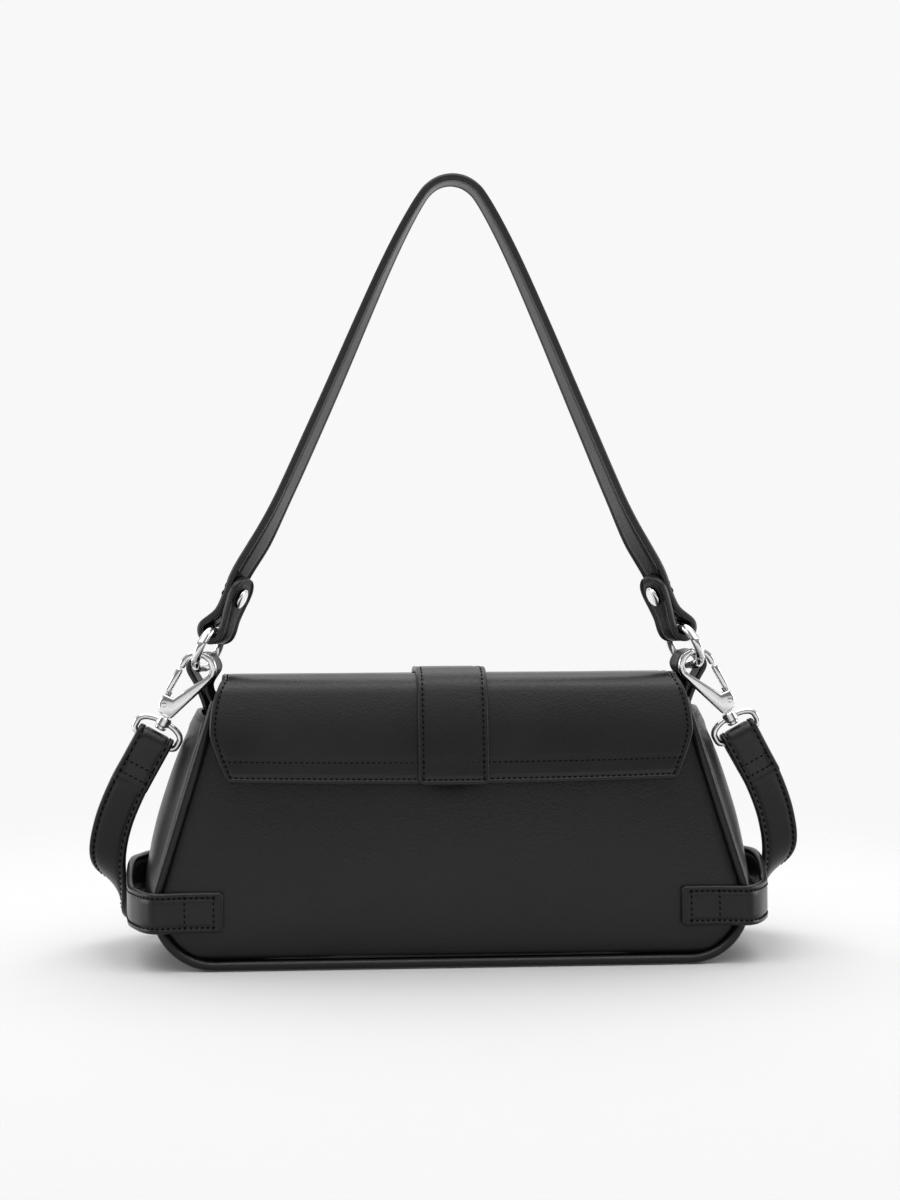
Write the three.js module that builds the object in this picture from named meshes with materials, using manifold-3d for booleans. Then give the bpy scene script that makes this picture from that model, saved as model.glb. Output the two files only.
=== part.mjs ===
// A flap-over crossbody bag in soft black leather, with an upright handle on gate rings and a
// detachable long strap on two swivel hooks. Millimetres, +Z up, the face with the flap towards -Y.
import * as THREE from 'three';
import * as BufferGeometryUtils from 'three/addons/utils/BufferGeometryUtils.js';
import Module from 'manifold-3d';

const wasm = await Module();
wasm.setup();

// Body
const bodyHeight = 129;
const baseHalfWidth = 148;
const topHalfWidth = 108;
const cornerRadius = 29;
const baseDepth = 74;
const topDepth = 40;
const panelWall = 2;
const gussetWall = 1.8;
const gussetBulge = 9;
const footSwell = 0.55;
const sideSwell = 0.36;
const topSwell = 0.45;
const gussetDrop = 15;
const pipingDiameter = 4.2;
const boardThickness = 2.4;
const liningWall = 0.8;
const pocketDrop = 30;
const pocketSide = 40;
const seamGap = 0.3;

// Flap and the tab that runs over its middle
const flapWall = 2.4;
const flapTopHalfWidth = topHalfWidth - 3;
const flapMidHalfWidth = flapTopHalfWidth + 5.5;
const flapLowHalfWidth = flapTopHalfWidth - 2.5;
const flapMidHeight = 113;
const flapLowHeight = 86;
const flapRootHeight = 96;
const flapBend = 7;
const flapShoulder = 104;
const flapLining = 0.7;
const flapStand = 4.8;
const bendSteps = 5;
const tabWidth = 32;
const tabWall = 2.6;
const snapDiameter = 14;
const snapThickness = 0.8;
const snapHeight = 98;

// Side keepers and the loops that hold the rings
const keeperWidth = 18;
const keeperWall = 3;
const keeperHeight = 27;
const keeperEnd = baseHalfWidth - 43;
const keeperTurn = baseHalfWidth - 26;
const keeperReach = baseHalfWidth;
const keeperRise = 8;
const loopWidth = 9;
const loopWall = 2.4;
const loopHalfWidth = 7.2;
const loopCentre = flapTopHalfWidth + 8.5;
const loopTop = 141.6;
const loopFoot = 105;
const loopSeat = -2.2;
const loopY = 3;
const loopTwist = 18;
const loopPinch = 2.2;

// Gate rings
const ringWire = 4.2;
const ringRadius = 9.6;
const ringStraight = 3;
const ringLean = 23.5;
const ringTwist = 20;
const ringX = loopCentre - 2.2;
const ringZ = 143.5;
const ringGateFrom = 158;
const ringGateTo = 215;
const gatePin = 1.5;
const gateTongue = 1.3;
const hingeGap = 6;
const hingeInset = 10;
const noseGap = 0.35;
const noseOverlap = 25;
const noseSlant = 24;
const pinFit = 0.08;

// Handle
const handleWidth = 17;
const handleEndWidth = 12;
const handleWall = 3.2;
const handleTop = 361;
const handleShoulder = ringX - 16.3;
const handleShoulderHeight = 176;
const handleRound = 15;
const handleTip = 28;
const foldRoom = 1.25;
const rivetHead = 9.6;
const rivetAlong = 18;
const rivetPost = 3;
const rivetCap = 1.1;

// Swivel hooks and bails
const hookX = loopCentre + 15.3;
const hookZ = 116.6;
const hookY = -4.1;
const hookTurn = 28.9;
const hookThickness = 3;
const hookWire = 3.2;
const hookOuter = 8.8;
const hookLength = 21.6;
const hookOffset = 2.3;
const hookBlock = 4.6;
const hingeSide = 3.6;
const knuckleHalf = 1.8;
const hookPin = 2;
const hookNose = 3;
const stemDiameter = 3.2;
const bailHalfWidth = 10.8;
const bailWire = 3;
const bailTop = 7.2;
const bailBottom = 17.2;

// Crossbody strap
const strapWidth = 17.5;
const strapWall = 3;
const strapRun = 96;
const strapPitch = 8;
const strapRunStart = 51;
const strapTurn = 12;
const strapLift = 0.4;
const strapFold = 24;
const strapRoute = [[8.3, 4, 62], [11.5, 11, 45], [8.5, 24, 30], [-1, 39, 17]];

const leather = { color: 0x1b1b1c, roughness: 0.55, metalness: 0 };
const liningCloth = { color: 0x2a2a2c, roughness: 0.9, metalness: 0 };
const board = { color: 0x5b5148, roughness: 0.9, metalness: 0 };
const chrome = { color: 0xd6d7d8, roughness: 0.15, metalness: 1 };

const group = new THREE.Group();

function add(name, geometry, finish) {
  const mesh = new THREE.Mesh(geometry, new THREE.MeshStandardMaterial(finish));
  mesh.name = name;
  group.add(mesh);
}

function vec(x, y, z) {
  return new THREE.Vector3(x, y, z);
}

function facingOut(points, index) {
  let volume = 0;
  for (let i = 0; i < index.length; i += 3) {
    const [a, b, c] = [points[index[i]], points[index[i + 1]], points[index[i + 2]]];
    volume += a.dot(b.clone().cross(c));
  }
  if (volume < 0) {
    for (let i = 0; i < index.length; i += 3) {
      [index[i + 1], index[i + 2]] = [index[i + 2], index[i + 1]];
    }
  }
  const geometry = new THREE.BufferGeometry().setFromPoints(points);
  geometry.setIndex(index);
  return geometry;
}

// A closed solid through rings of points; each ring has the same count. The ends are capped
// unless the rings close on themselves. A cap joins opposite points, so long thin rings stay tidy.
function sweep(rings, closed = false) {
  const count = rings[0].length;
  const points = rings.flat();
  const index = [];
  const last = closed ? rings.length : rings.length - 1;
  for (let i = 0; i < last; i += 1) {
    const a = i * count;
    const b = ((i + 1) % rings.length) * count;
    for (let j = 0; j < count; j += 1) {
      const k = (j + 1) % count;
      index.push(a + j, b + j, b + k, a + j, b + k, a + k);
    }
  }
  if (!closed) {
    const end = (rings.length - 1) * count;
    for (let j = 0; j < count / 2 - 1; j += 1) {
      const k = count - 1 - j;
      index.push(j, j + 1, k - 1, j, k - 1, k);
      index.push(end + j, end + k - 1, end + j + 1, end + j, end + k, end + k - 1);
    }
  }
  return facingOut(points, index);
}

// A sheet with its outer face through rows of points and its inner face one wall behind.
function sheet(rows, inward, wall) {
  return sweep(rows.map((row, i) => {
    const inner = row.map((p, j) => p.clone().addScaledVector(inward(i, j, p), wall));
    return [...row, ...inner.reverse()];
  }));
}

// A flat strip along points, with a width direction and a width for each of them.
function strip(path, across, width, wall) {
  const rings = path.map((p, i) => {
    const before = path[Math.max(i - 1, 0)];
    const after = path[Math.min(i + 1, path.length - 1)];
    const along = after.clone().sub(before).normalize();
    const face = along.clone().cross(across(i)).normalize();
    const side = face.clone().cross(along).normalize().multiplyScalar(width(i) / 2);
    face.multiplyScalar(wall / 2);
    return [
      p.clone().add(side).add(face),
      p.clone().sub(side).add(face),
      p.clone().sub(side).sub(face),
      p.clone().add(side).sub(face),
    ];
  });
  return sweep(rings);
}

// A round wire along points that lie in one plane.
function wire(path, normal, diameter, sides, closed = false) {
  const rings = path.map((p, i) => {
    const before = path[closed ? (i + path.length - 1) % path.length : Math.max(i - 1, 0)];
    const after = path[closed ? (i + 1) % path.length : Math.min(i + 1, path.length - 1)];
    const out = after.clone().sub(before).normalize().cross(normal);
    return Array.from({ length: sides }, (_, j) => {
      const turn = (j / sides) * 2 * Math.PI;
      const p2 = p.clone().addScaledVector(normal, Math.cos(turn) * diameter / 2);
      return p2.addScaledVector(out, Math.sin(turn) * diameter / 2);
    });
  });
  return sweep(rings, closed);
}

function solid(geometry) {
  let bare = geometry.clone();
  bare.deleteAttribute('normal');
  bare.deleteAttribute('uv');
  bare = BufferGeometryUtils.mergeVertices(bare, 1e-5);
  return new wasm.Manifold(new wasm.Mesh({
    numProp: 3,
    vertProperties: new Float32Array(bare.attributes.position.array),
    triVerts: new Uint32Array(bare.index.array),
  }));
}

function shown(body) {
  const mesh = body.getMesh();
  const geometry = new THREE.BufferGeometry();
  geometry.setAttribute('position', new THREE.BufferAttribute(mesh.vertProperties, 3));
  geometry.setIndex(new THREE.BufferAttribute(mesh.triVerts, 1));
  return geometry;
}

function join(...pieces) {
  return pieces.map(solid).reduce((a, b) => a.add(b));
}

// A cylinder between two points.
function rod(from, to, diameter, sides = 16) {
  const span = to.clone().sub(from);
  const geometry = new THREE.CylinderGeometry(diameter / 2, diameter / 2, span.length(), sides);
  geometry.applyQuaternion(new THREE.Quaternion().setFromUnitVectors(vec(0, 1, 0), span.normalize()));
  const middle = from.clone().add(to).multiplyScalar(0.5);
  return geometry.translate(middle.x, middle.y, middle.z);
}

const sideSlope = (baseHalfWidth - topHalfWidth) / bodyHeight;
const sideAngle = Math.atan(sideSlope);

function halfDepth(z) {
  return baseDepth / 2 + (topDepth - baseDepth) / 2 * (z / bodyHeight);
}

// The outline of a body panel, drawn in by inset, from the top left round the base to the top right.
// Each point has its outward direction and its share of the gusset's bulge.
function outline(inset, top = bodyHeight, cornerSteps = 7, sideSteps = 4) {
  const radius = cornerRadius - inset;
  const centreX = baseHalfWidth - cornerRadius * Math.tan(Math.PI / 4 + sideAngle / 2);
  const right = [];
  for (let i = 0; i <= cornerSteps; i += 1) {
    const turn = -Math.PI / 2 + (Math.PI / 2 + sideAngle) * (i / cornerSteps);
    const out = vec(Math.cos(turn), 0, Math.sin(turn));
    const point = vec(centreX, 0, cornerRadius).addScaledVector(out, radius);
    right.push({ point, out, swell: (i / cornerSteps) ** 2 * footSwell });
  }
  const foot = right[right.length - 1].point;
  const out = vec(Math.cos(sideAngle), 0, Math.sin(sideAngle));
  for (let i = 1; i <= sideSteps; i += 1) {
    const z = foot.z + (top - foot.z) * (i / sideSteps);
    const point = vec(foot.x - sideSlope * (z - foot.z), 0, z);
    const t = i / sideSteps;
    const swell = footSwell + (topSwell - footSwell) * t + sideSwell * 4 * t * (1 - t);
    right.push({ point, out, swell });
  }
  const left = right.map(({ point, out: o, swell }) => ({
    point: vec(-point.x, 0, point.z),
    out: vec(-o.x, 0, o.z),
    swell,
  }));
  return { left: left.reverse(), right };
}

function panel(side, inset, top, wall) {
  const { left, right } = outline(inset, top);
  const ring = [...left, ...right];
  const shape = new THREE.Shape(ring.map(({ point }) => new THREE.Vector2(point.x, point.z)));
  const flat = new THREE.ExtrudeGeometry(shape, { depth: wall, bevelEnabled: false });
  const place = flat.attributes.position;
  for (let i = 0; i < place.count; i += 1) {
    const z = place.getY(i);
    place.setXYZ(i, place.getX(i), side * (halfDepth(z) - place.getZ(i)), z);
  }
  return shown(solidFromLoose(flat));
}

// Merges a loose geometry and turns its faces outwards.
function solidFromLoose(geometry) {
  const bare = geometry.clone();
  bare.deleteAttribute('normal');
  bare.deleteAttribute('uv');
  const merged = BufferGeometryUtils.mergeVertices(bare, 1e-5);
  const points = [];
  for (let i = 0; i < merged.attributes.position.count; i += 1) {
    points.push(new THREE.Vector3().fromBufferAttribute(merged.attributes.position, i));
  }
  return solid(facingOut(points, Array.from(merged.index.array)));
}

const panelTop = bodyHeight - flapBend;
const panelInset = pipingDiameter / 2 + seamGap;

function addPanels() {
  for (const [name, side] of [['front_panel', -1], ['back_panel', 1]]) {
    add(name, panel(side, panelInset + pipingDiameter / 2, panelTop, panelWall), leather);
  }
  for (const [name, side] of [['front_piping', -1], ['back_piping', 1]]) {
    const { left, right } = outline(panelInset, panelTop);
    const rings = [...left, ...right].map(({ point, out }) => {
      const inBy = pipingDiameter / 2;
      const centre = vec(point.x, side * (halfDepth(point.z) - inBy), point.z);
      return Array.from({ length: 8 }, (_, j) => {
        const turn = (j / 8) * 2 * Math.PI;
        return centre.clone()
          .addScaledVector(out, Math.cos(turn) * pipingDiameter / 2)
          .add(vec(0, Math.sin(turn) * pipingDiameter / 2, 0));
      });
    });
    add(name, sweep(rings), leather);
  }
}

// The band between the two pipings: a flat base and a side that swells outwards.
function gussetRow({ point, out, swell }, inset) {
  const reach = halfDepth(point.z) - pipingDiameter - seamGap;
  const steps = 8;
  return Array.from({ length: steps + 1 }, (_, j) => {
    const y = reach * (2 * j / steps - 1);
    const bulge = gussetBulge * swell * (1 - (y / reach) ** 2);
    return point.clone().addScaledVector(out, bulge - inset).add(vec(0, y, 0));
  });
}

function addGusset() {
  const top = bodyHeight - gussetDrop;
  const { left, right } = outline(0, top);
  for (const [name, side, half] of [['gusset_left', -1, left.reverse()], ['gusset_right', 1, right]]) {
    const rows = half.map((spot) => gussetRow(spot, 0));
    rows[0] = rows[0].map((p) => p.clone().add(vec(side * seamGap / 2, 0, 0)));
    add(name, sheet(rows, (i) => half[i].out.clone().negate(), gussetWall), leather);
  }
  const edge = right[0].point.x - seamGap / 2;
  const reach = halfDepth(0) - pipingDiameter - seamGap;
  const base = new THREE.BoxGeometry(2 * edge, 2 * reach, gussetWall);
  add('base_panel', base.translate(0, 0, gussetWall / 2), leather);
}

const liningInset = panelInset + pipingDiameter + gussetWall + seamGap;
const liningTop = panelTop - 2;

function addInside() {
  const floor = gussetWall + seamGap;
  const boardHalf = halfDepth(floor) - pipingDiameter - panelWall - seamGap;
  const boardWidth = outline(liningInset, liningTop).right[0].point.x;
  const plate = new THREE.BoxGeometry(2 * boardWidth, 2 * boardHalf, boardThickness);
  add('base_board', plate.translate(0, 0, floor + boardThickness / 2), board);

  const lift = floor + boardThickness + seamGap;
  const { left, right } = outline(liningInset, liningTop);
  const across = (inset) => [...left, ...right].map(({ point, out }) => {
    const z = point.z > liningInset + seamGap ? point.z : lift + inset;
    return vec(point.x - Math.sign(point.x) * inset * Math.abs(out.x), 0, z);
  });
  const bag = (inset, top) => {
    const ring = across(inset);
    const shape = new THREE.Shape(ring.map((p) => new THREE.Vector2(p.x, Math.min(p.z, top))));
    const flat = new THREE.ExtrudeGeometry(shape, { depth: 1, bevelEnabled: false });
    const place = flat.attributes.position;
    for (let i = 0; i < place.count; i += 1) {
      const z = place.getY(i);
      const reach = halfDepth(z) - panelWall - seamGap - inset;
      const over = z > top - 0.01 && inset > 0 ? 2 : 0;
      place.setXYZ(i, place.getX(i), (2 * place.getZ(i) - 1) * reach, z + over);
    }
    return solidFromLoose(flat);
  };
  add('lining', shown(bag(0, liningTop).subtract(bag(liningWall, liningTop))), liningCloth);

  const pocketTop = liningTop - pocketDrop;
  const pocketFoot = cornerRadius + lift;
  const pocketHalf = topHalfWidth - pocketSide;
  const rows = [pocketFoot, pocketTop].map((z) => [-pocketHalf, pocketHalf].map((x) => (
    vec(x, halfDepth(z) - panelWall - 2 * seamGap - liningWall, z))));
  add('slip_pocket', sheet(rows, () => vec(0, -1, 0), liningWall), liningCloth);
}

// The flap's section, seen from +X, as distances from the body: up the back panel, over the two
// bends and down the front panel, where it stands away to leave room for the snap.
const liningOff = seamGap;
const flapOff = liningOff + flapLining + seamGap;
const tabOff = flapOff + flapWall + seamGap;
const bendY = halfDepth(panelTop) - flapBend;

function standOff(z) {
  return flapStand * Math.max(0, panelTop - z) / (panelTop - flapLowHeight);
}

function rootSection(off) {
  return [flapRootHeight, panelTop - seamGap].map((z) => ({ y: halfDepth(z) + off, z, out: [1, 0] }));
}

function bendSection(side, off, from, to) {
  return Array.from({ length: bendSteps + 1 }, (_, i) => {
    const turn = (from + (to - from) * (i / bendSteps)) * Math.PI / 180;
    const out = [side * Math.cos(turn), Math.sin(turn)];
    return { y: side * bendY + out[0] * (flapBend + off), z: panelTop + out[1] * (flapBend + off), out };
  });
}

function topSection(off) {
  const flat = { y: -bendY + seamGap / 2, z: bodyHeight + off, out: [0, 1] };
  return [...bendSection(1, off, 0, 90), flat];
}

function frontSection(off, low) {
  const start = { y: -bendY - seamGap / 2, z: bodyHeight + off, out: [0, 1] };
  const fall = [flapMidHeight, flapShoulder, low].map((z) => (
    { y: -halfDepth(z) - off - standOff(z), z, out: [-1, 0] }));
  return [start, ...bendSection(-1, off, 84, 0), ...fall];
}

function flapHalfWidth(z) {
  const share = Math.max(0, bodyHeight - z) / (bodyHeight - flapShoulder);
  if (share <= 1) {
    return flapTopHalfWidth + (flapMidHalfWidth - flapTopHalfWidth) * Math.sqrt(share);
  }
  const low = (z - flapLowHeight) / (flapShoulder - flapLowHeight);
  return flapLowHalfWidth + (flapMidHalfWidth - flapLowHalfWidth) * low;
}

// A sheet of that section, as wide as half says on each side of the middle.
function draped(section, half, wall) {
  const rows = section.map(({ y, z, out }) => [-1, 1].map((side) => (
    vec(side * half(z), y + out[0] * wall, z + out[1] * wall))));
  return sheet(rows, (i) => vec(0, -section[i].out[0], -section[i].out[1]), wall);
}

function addFlap() {
  const plain = () => flapTopHalfWidth;
  const narrow = () => flapTopHalfWidth - flapWall;
  const inside = (z) => flapHalfWidth(z) - flapWall;
  const tabHalf = () => tabWidth / 2;
  add('flap_root', draped(rootSection(flapOff), plain, flapWall), leather);
  add('flap_top', draped(topSection(flapOff), plain, flapWall), leather);
  add('flap_front', draped(frontSection(flapOff, flapLowHeight), flapHalfWidth, flapWall), leather);
  add('flap_top_lining', draped(topSection(liningOff), narrow, flapLining), liningCloth);
  const hem = flapLowHeight + flapWall;
  add('flap_front_lining', draped(frontSection(liningOff, hem), inside, flapLining), liningCloth);
  add('tab_root', draped(rootSection(tabOff), tabHalf, tabWall), leather);
  add('tab_top', draped(topSection(tabOff), tabHalf, tabWall), leather);
  add('tab_front', draped(frontSection(tabOff, flapLowHeight), tabHalf, tabWall), leather);
}

function snapHalf(off, thickness) {
  const disc = new THREE.Shape().absarc(0, snapHeight, snapDiameter / 2, 0, 2 * Math.PI);
  const settings = { depth: thickness, bevelEnabled: false, curveSegments: 10 };
  const flat = new THREE.ExtrudeGeometry(disc, settings);
  const place = flat.attributes.position;
  for (let i = 0; i < place.count; i += 1) {
    const z = place.getY(i);
    place.setXYZ(i, place.getX(i), -halfDepth(z) - off(z) + place.getZ(i), z);
  }
  return shown(solidFromLoose(flat));
}

function addSnap() {
  add('snap_socket', snapHalf(() => seamGap + snapThickness, snapThickness), chrome);
  add('snap_stud', snapHalf((z) => liningOff + standOff(z) - seamGap, snapThickness), chrome);
}

// A leather strip from the front panel round the side to the back panel, clear of the gusset.
function addKeepers() {
  const depth = halfDepth(keeperHeight) + seamGap + keeperWall / 2;
  const lean = (baseDepth - topDepth) / 2 / bodyHeight;
  for (const [name, side] of [['keeper_left', -1], ['keeper_right', 1]]) {
    const half = [[keeperEnd, depth], [keeperTurn, depth], [keeperTurn + 14.5, depth + 1],
      [keeperReach - 3.2, depth * 0.68], [keeperReach, depth * 0.25]];
    const front = half.map(([x, y]) => vec(side * x, -y, keeperHeight));
    const back = half.map(([x, y]) => vec(side * x, y, keeperHeight + keeperRise)).reverse();
    back[back.length - 1].y += lean * -keeperRise;
    back[back.length - 2].y += lean * -keeperRise;
    const path = new THREE.CatmullRomCurve3([...front, ...back], false, 'centripetal').getPoints(30);
    const across = (i) => vec(0, -lean * Math.max(-1, Math.min(1, path[i].y / depth)), 1);
    add(name, strip(path, across, () => keeperWidth, keeperWall), leather);
  }
}

// A strip folded into a standing loop; both tails are sewn behind the gusset's top edge.
function addRingLoops() {
  const crest = loopTop - loopWall / 2;
  const half = loopHalfWidth - loopWall / 2;
  const seat = loopCentre + loopSeat;
  const round = crest - half;
  for (const [name, side] of [['ring_loop_left', -1], ['ring_loop_right', 1]]) {
    const arch = Array.from({ length: 9 }, (_, i) => {
      const turn = Math.PI * i / 8;
      return [loopCentre + half * Math.cos(turn), round + half * Math.sin(turn)];
    });
    const outer = [[seat + 2.1, loopFoot], [seat, loopFoot + 8], [loopCentre + loopPinch, round - 9]];
    const inner = [[loopCentre - loopPinch, round - 9], [seat - 4.2, loopFoot + 8]];
    inner.push([seat - 1.9, loopFoot]);
    const points = [...outer, ...arch, ...inner].map(([x, z]) => vec(side * x, loopY, z));
    const path = new THREE.CatmullRomCurve3(points, false, 'centripetal').getPoints(30);
    const across = vec(-side * Math.tan(loopTwist * Math.PI / 180), 1, 0);
    add(name, strip(path, () => across, () => loopWidth, loopWall), leather);
  }
}

// The ring stands in a plane along the handle's own direction, turned a little towards the front.
function ringFrame(side) {
  const lean = ringLean * Math.PI / 180;
  const twist = ringTwist * Math.PI / 180;
  const up = vec(-side * Math.sin(lean), 0, Math.cos(lean));
  const outward = vec(side * Math.cos(lean), 0, Math.sin(lean));
  const deep = vec(0, Math.cos(twist), 0).addScaledVector(outward, -Math.sin(twist));
  const normal = outward.clone().multiplyScalar(Math.cos(twist)).add(vec(0, Math.sin(twist), 0));
  const centre = vec(side * ringX, 0, ringZ);
  const at = (degrees) => {
    const turn = degrees * Math.PI / 180;
    const y = Math.sign(Math.cos(turn)) * ringStraight + ringRadius * Math.cos(turn);
    return centre.clone().addScaledVector(deep, y).addScaledVector(up, ringRadius * Math.sin(turn));
  };
  return { up, deep, normal, centre, at };
}

function ringArc(at, from, to, steps) {
  return Array.from({ length: steps + 1 }, (_, i) => at(from + (to - from) * (i / steps)));
}

// A block along a line, as deep as asked across the ring's plane.
function tongue(from, to, high, deep, normal) {
  const along = to.clone().sub(from);
  const box = new THREE.BoxGeometry(along.length(), high, deep);
  const x = along.clone().normalize();
  const turn = new THREE.Matrix4().makeBasis(x, normal.clone().cross(x), normal);
  const middle = from.clone().add(to).multiplyScalar(0.5);
  return box.applyMatrix4(turn).translate(middle.x, middle.y, middle.z);
}

function addGateRings() {
  for (const [word, side] of [['left', -1], ['right', 1]]) {
    const { up, deep, normal, at } = ringFrame(side);
    const foot = ringGateTo + hingeGap;
    const bare = wire(ringArc(at, foot, 360 + ringGateFrom + noseOverlap, 32), normal, ringWire, 10);
    const course = ringArc(at, ringGateFrom - noseOverlap, ringGateTo, 10);
    const arc = (size) => solid(wire(course, normal, size, 10));
    const slant = noseSlant * Math.PI / 180;
    const cut = up.clone().multiplyScalar(Math.cos(slant)).addScaledVector(deep, -Math.sin(slant));
    const nose = cut.dot(at(ringGateFrom));
    const pin = at(foot + hingeInset);
    const back = at(foot + 2 * hingeInset);
    const root = at(ringGateTo - 4);
    const reach = normal.clone().multiplyScalar(ringWire / 2 - seamGap);
    const rodOf = (size) => rod(pin.clone().sub(reach), pin.clone().add(reach), size, 10);
    const slot = tongue(at(foot).lerp(root, 0.3), back, ringWire * 2, gateTongue + 2 * pinFit, normal);
    const lug = tongue(root, pin.clone().lerp(back, 0.35), ringWire * 0.62, gateTongue, normal);
    const hole = solid(rodOf(gatePin + 2 * pinFit));
    const below = cut.clone().negate().toArray();
    const gate = arc(ringWire).trimByPlane(below, -nose);
    const frame = solid(bare).subtract(arc(ringWire * 1.4).trimByPlane(below, -nose - noseGap));
    add(`gate_ring_${word}`, shown(frame.subtract(solid(slot)).subtract(hole)), chrome);
    add(`ring_gate_${word}`, shown(gate.add(solid(lug)).subtract(hole)), chrome);
    add(`ring_pin_${word}`, rodOf(gatePin), chrome);
  }
}

// Points of one handle end: the tip on the inner side, the fold round the ring and the outer layer.
function handleEnd(side) {
  const { up, normal, centre } = ringFrame(side);
  const bar = centre.clone().addScaledVector(up, ringRadius);
  const inward = normal.clone().negate();
  const fold = ringWire / 2 + foldRoom + handleWall / 2;
  const spot = (s, n) => bar.clone().addScaledVector(up, s).addScaledVector(inward, n);
  const layer = handleWall + seamGap;
  const inner = [spot(handleTip, layer), spot(rivetAlong, layer), spot(9, layer + 0.4)];
  const turn = Array.from({ length: 7 }, (_, i) => {
    const angle = Math.PI * i / 6;
    return spot(-fold * Math.sin(angle), fold * Math.cos(angle));
  });
  const outer = [spot(9, -0.6), spot(rivetAlong, 0), spot(handleTip, 0)];
  return { path: [...inner, ...turn, ...outer], rivet: spot(rivetAlong, layer / 2), inward };
}

function handleArch() {
  const rise = handleTop - handleWall / 2 - handleRound;
  const run = Math.hypot(handleShoulder, rise - handleShoulderHeight);
  const heading = Math.atan2(rise - handleShoulderHeight, -handleShoulder) - Math.asin(handleRound / run);
  const start = heading - Math.PI / 2;
  const leg = Math.sqrt(run ** 2 - handleRound ** 2);
  const along = vec(Math.cos(heading), 0, Math.sin(heading));
  const shoulder = vec(handleShoulder, 0, handleShoulderHeight);
  const right = [0.12, 0.4, 0.7].map((share) => shoulder.clone().addScaledVector(along, leg * share));
  const arc = Array.from({ length: 7 }, (_, i) => {
    const turn = start + (Math.PI - 2 * start) * (i / 6);
    return vec(handleRound * Math.cos(turn), 0, rise + handleRound * Math.sin(turn));
  });
  const left = right.map((p) => vec(-p.x, 0, p.z)).reverse();
  return [...right, ...arc, ...left];
}

function addHandle() {
  const ends = { left: handleEnd(-1), right: handleEnd(1) };
  const points = [...ends.right.path, ...handleArch(), ...ends.left.path.reverse()];
  const path = new THREE.CatmullRomCurve3(points, false, 'centripetal').getPoints(92);
  const wide = (i) => {
    const share = Math.min(1, Math.max(0, (path[i].z - handleShoulderHeight) / 20));
    return handleEndWidth + (handleWidth - handleEndWidth) * share;
  };
  const twist = Math.tan(ringTwist * Math.PI / 180);
  const across = (i) => vec(-twist * Math.max(-1, Math.min(1, path[i].x / handleShoulder)), 1, 0);
  let strap = solid(strip(path, across, wide, handleWall));
  const reach = handleWall + seamGap * 1.5;
  for (const [word, { rivet, inward }] of Object.entries(ends)) {
    const tip = (far) => rivet.clone().addScaledVector(inward, far);
    strap = strap.subtract(solid(rod(tip(-reach - 2), tip(reach + 2), rivetPost + 2 * seamGap, 10)));
    const post = rod(tip(-reach - 0.5), tip(reach + 0.5), rivetPost, 10);
    const cap = rod(tip(reach), tip(reach + rivetCap), rivetHead, 18);
    const foot = rod(tip(-reach), tip(-reach - rivetCap), rivetHead, 18);
    add(`handle_rivet_${word}`, shown(join(post, cap, foot)), chrome);
  }
  add('handle_strap', shown(strap), leather);
}

// The hook's own plane: along its stem, and across towards the bag.
function hookFrame(side) {
  const turn = hookTurn * Math.PI / 180;
  const up = vec(-side * Math.sin(turn), 0, Math.cos(turn));
  const across = vec(-side * Math.cos(turn), 0, -Math.sin(turn));
  const at = (a, b, y = 0) => vec(side * hookX, hookY + y, hookZ)
    .addScaledVector(up, a).addScaledVector(across, b);
  const cut = (shape, thickness, y = 0) => {
    const settings = { depth: thickness, bevelEnabled: false, curveSegments: 8 };
    const flat = new THREE.ExtrudeGeometry(shape, settings);
    const place = flat.attributes.position;
    for (let i = 0; i < place.count; i += 1) {
      const p = at(place.getY(i), place.getX(i), place.getZ(i) - thickness / 2 + y);
      place.setXYZ(i, p.x, p.y, p.z);
    }
    return solidFromLoose(flat);
  };
  return { at, cut, up, across };
}

function block(b0, b1, a0, a1) {
  return new THREE.Shape([[b0, a0], [b1, a0], [b1, a1], [b0, a1]].map(([b, a]) => new THREE.Vector2(b, a)));
}

function hookShape() {
  const inner = hookOuter - hookWire;
  const noseFoot = hookLength - hookNose;
  const shape = new THREE.Shape();
  shape.moveTo(-hookBlock - 1.6, -hookBlock);
  shape.lineTo(hookBlock - 0.6, -hookBlock);
  shape.lineTo(hookBlock, 2);
  shape.lineTo(hookOffset + hookOuter, hookLength);
  shape.absarc(hookOffset, hookLength, hookOuter, 0, Math.PI, false);
  shape.lineTo(hookOffset - hookOuter, noseFoot);
  shape.lineTo(hookOffset - inner, noseFoot);
  shape.lineTo(hookOffset - inner, hookLength);
  shape.absarc(hookOffset, hookLength, inner, Math.PI, 0, true);
  shape.lineTo(hookBlock - hookWire, hookBlock);
  shape.lineTo(-hookBlock - 1.6, hookBlock);
  shape.closePath();
  return shape;
}

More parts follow.
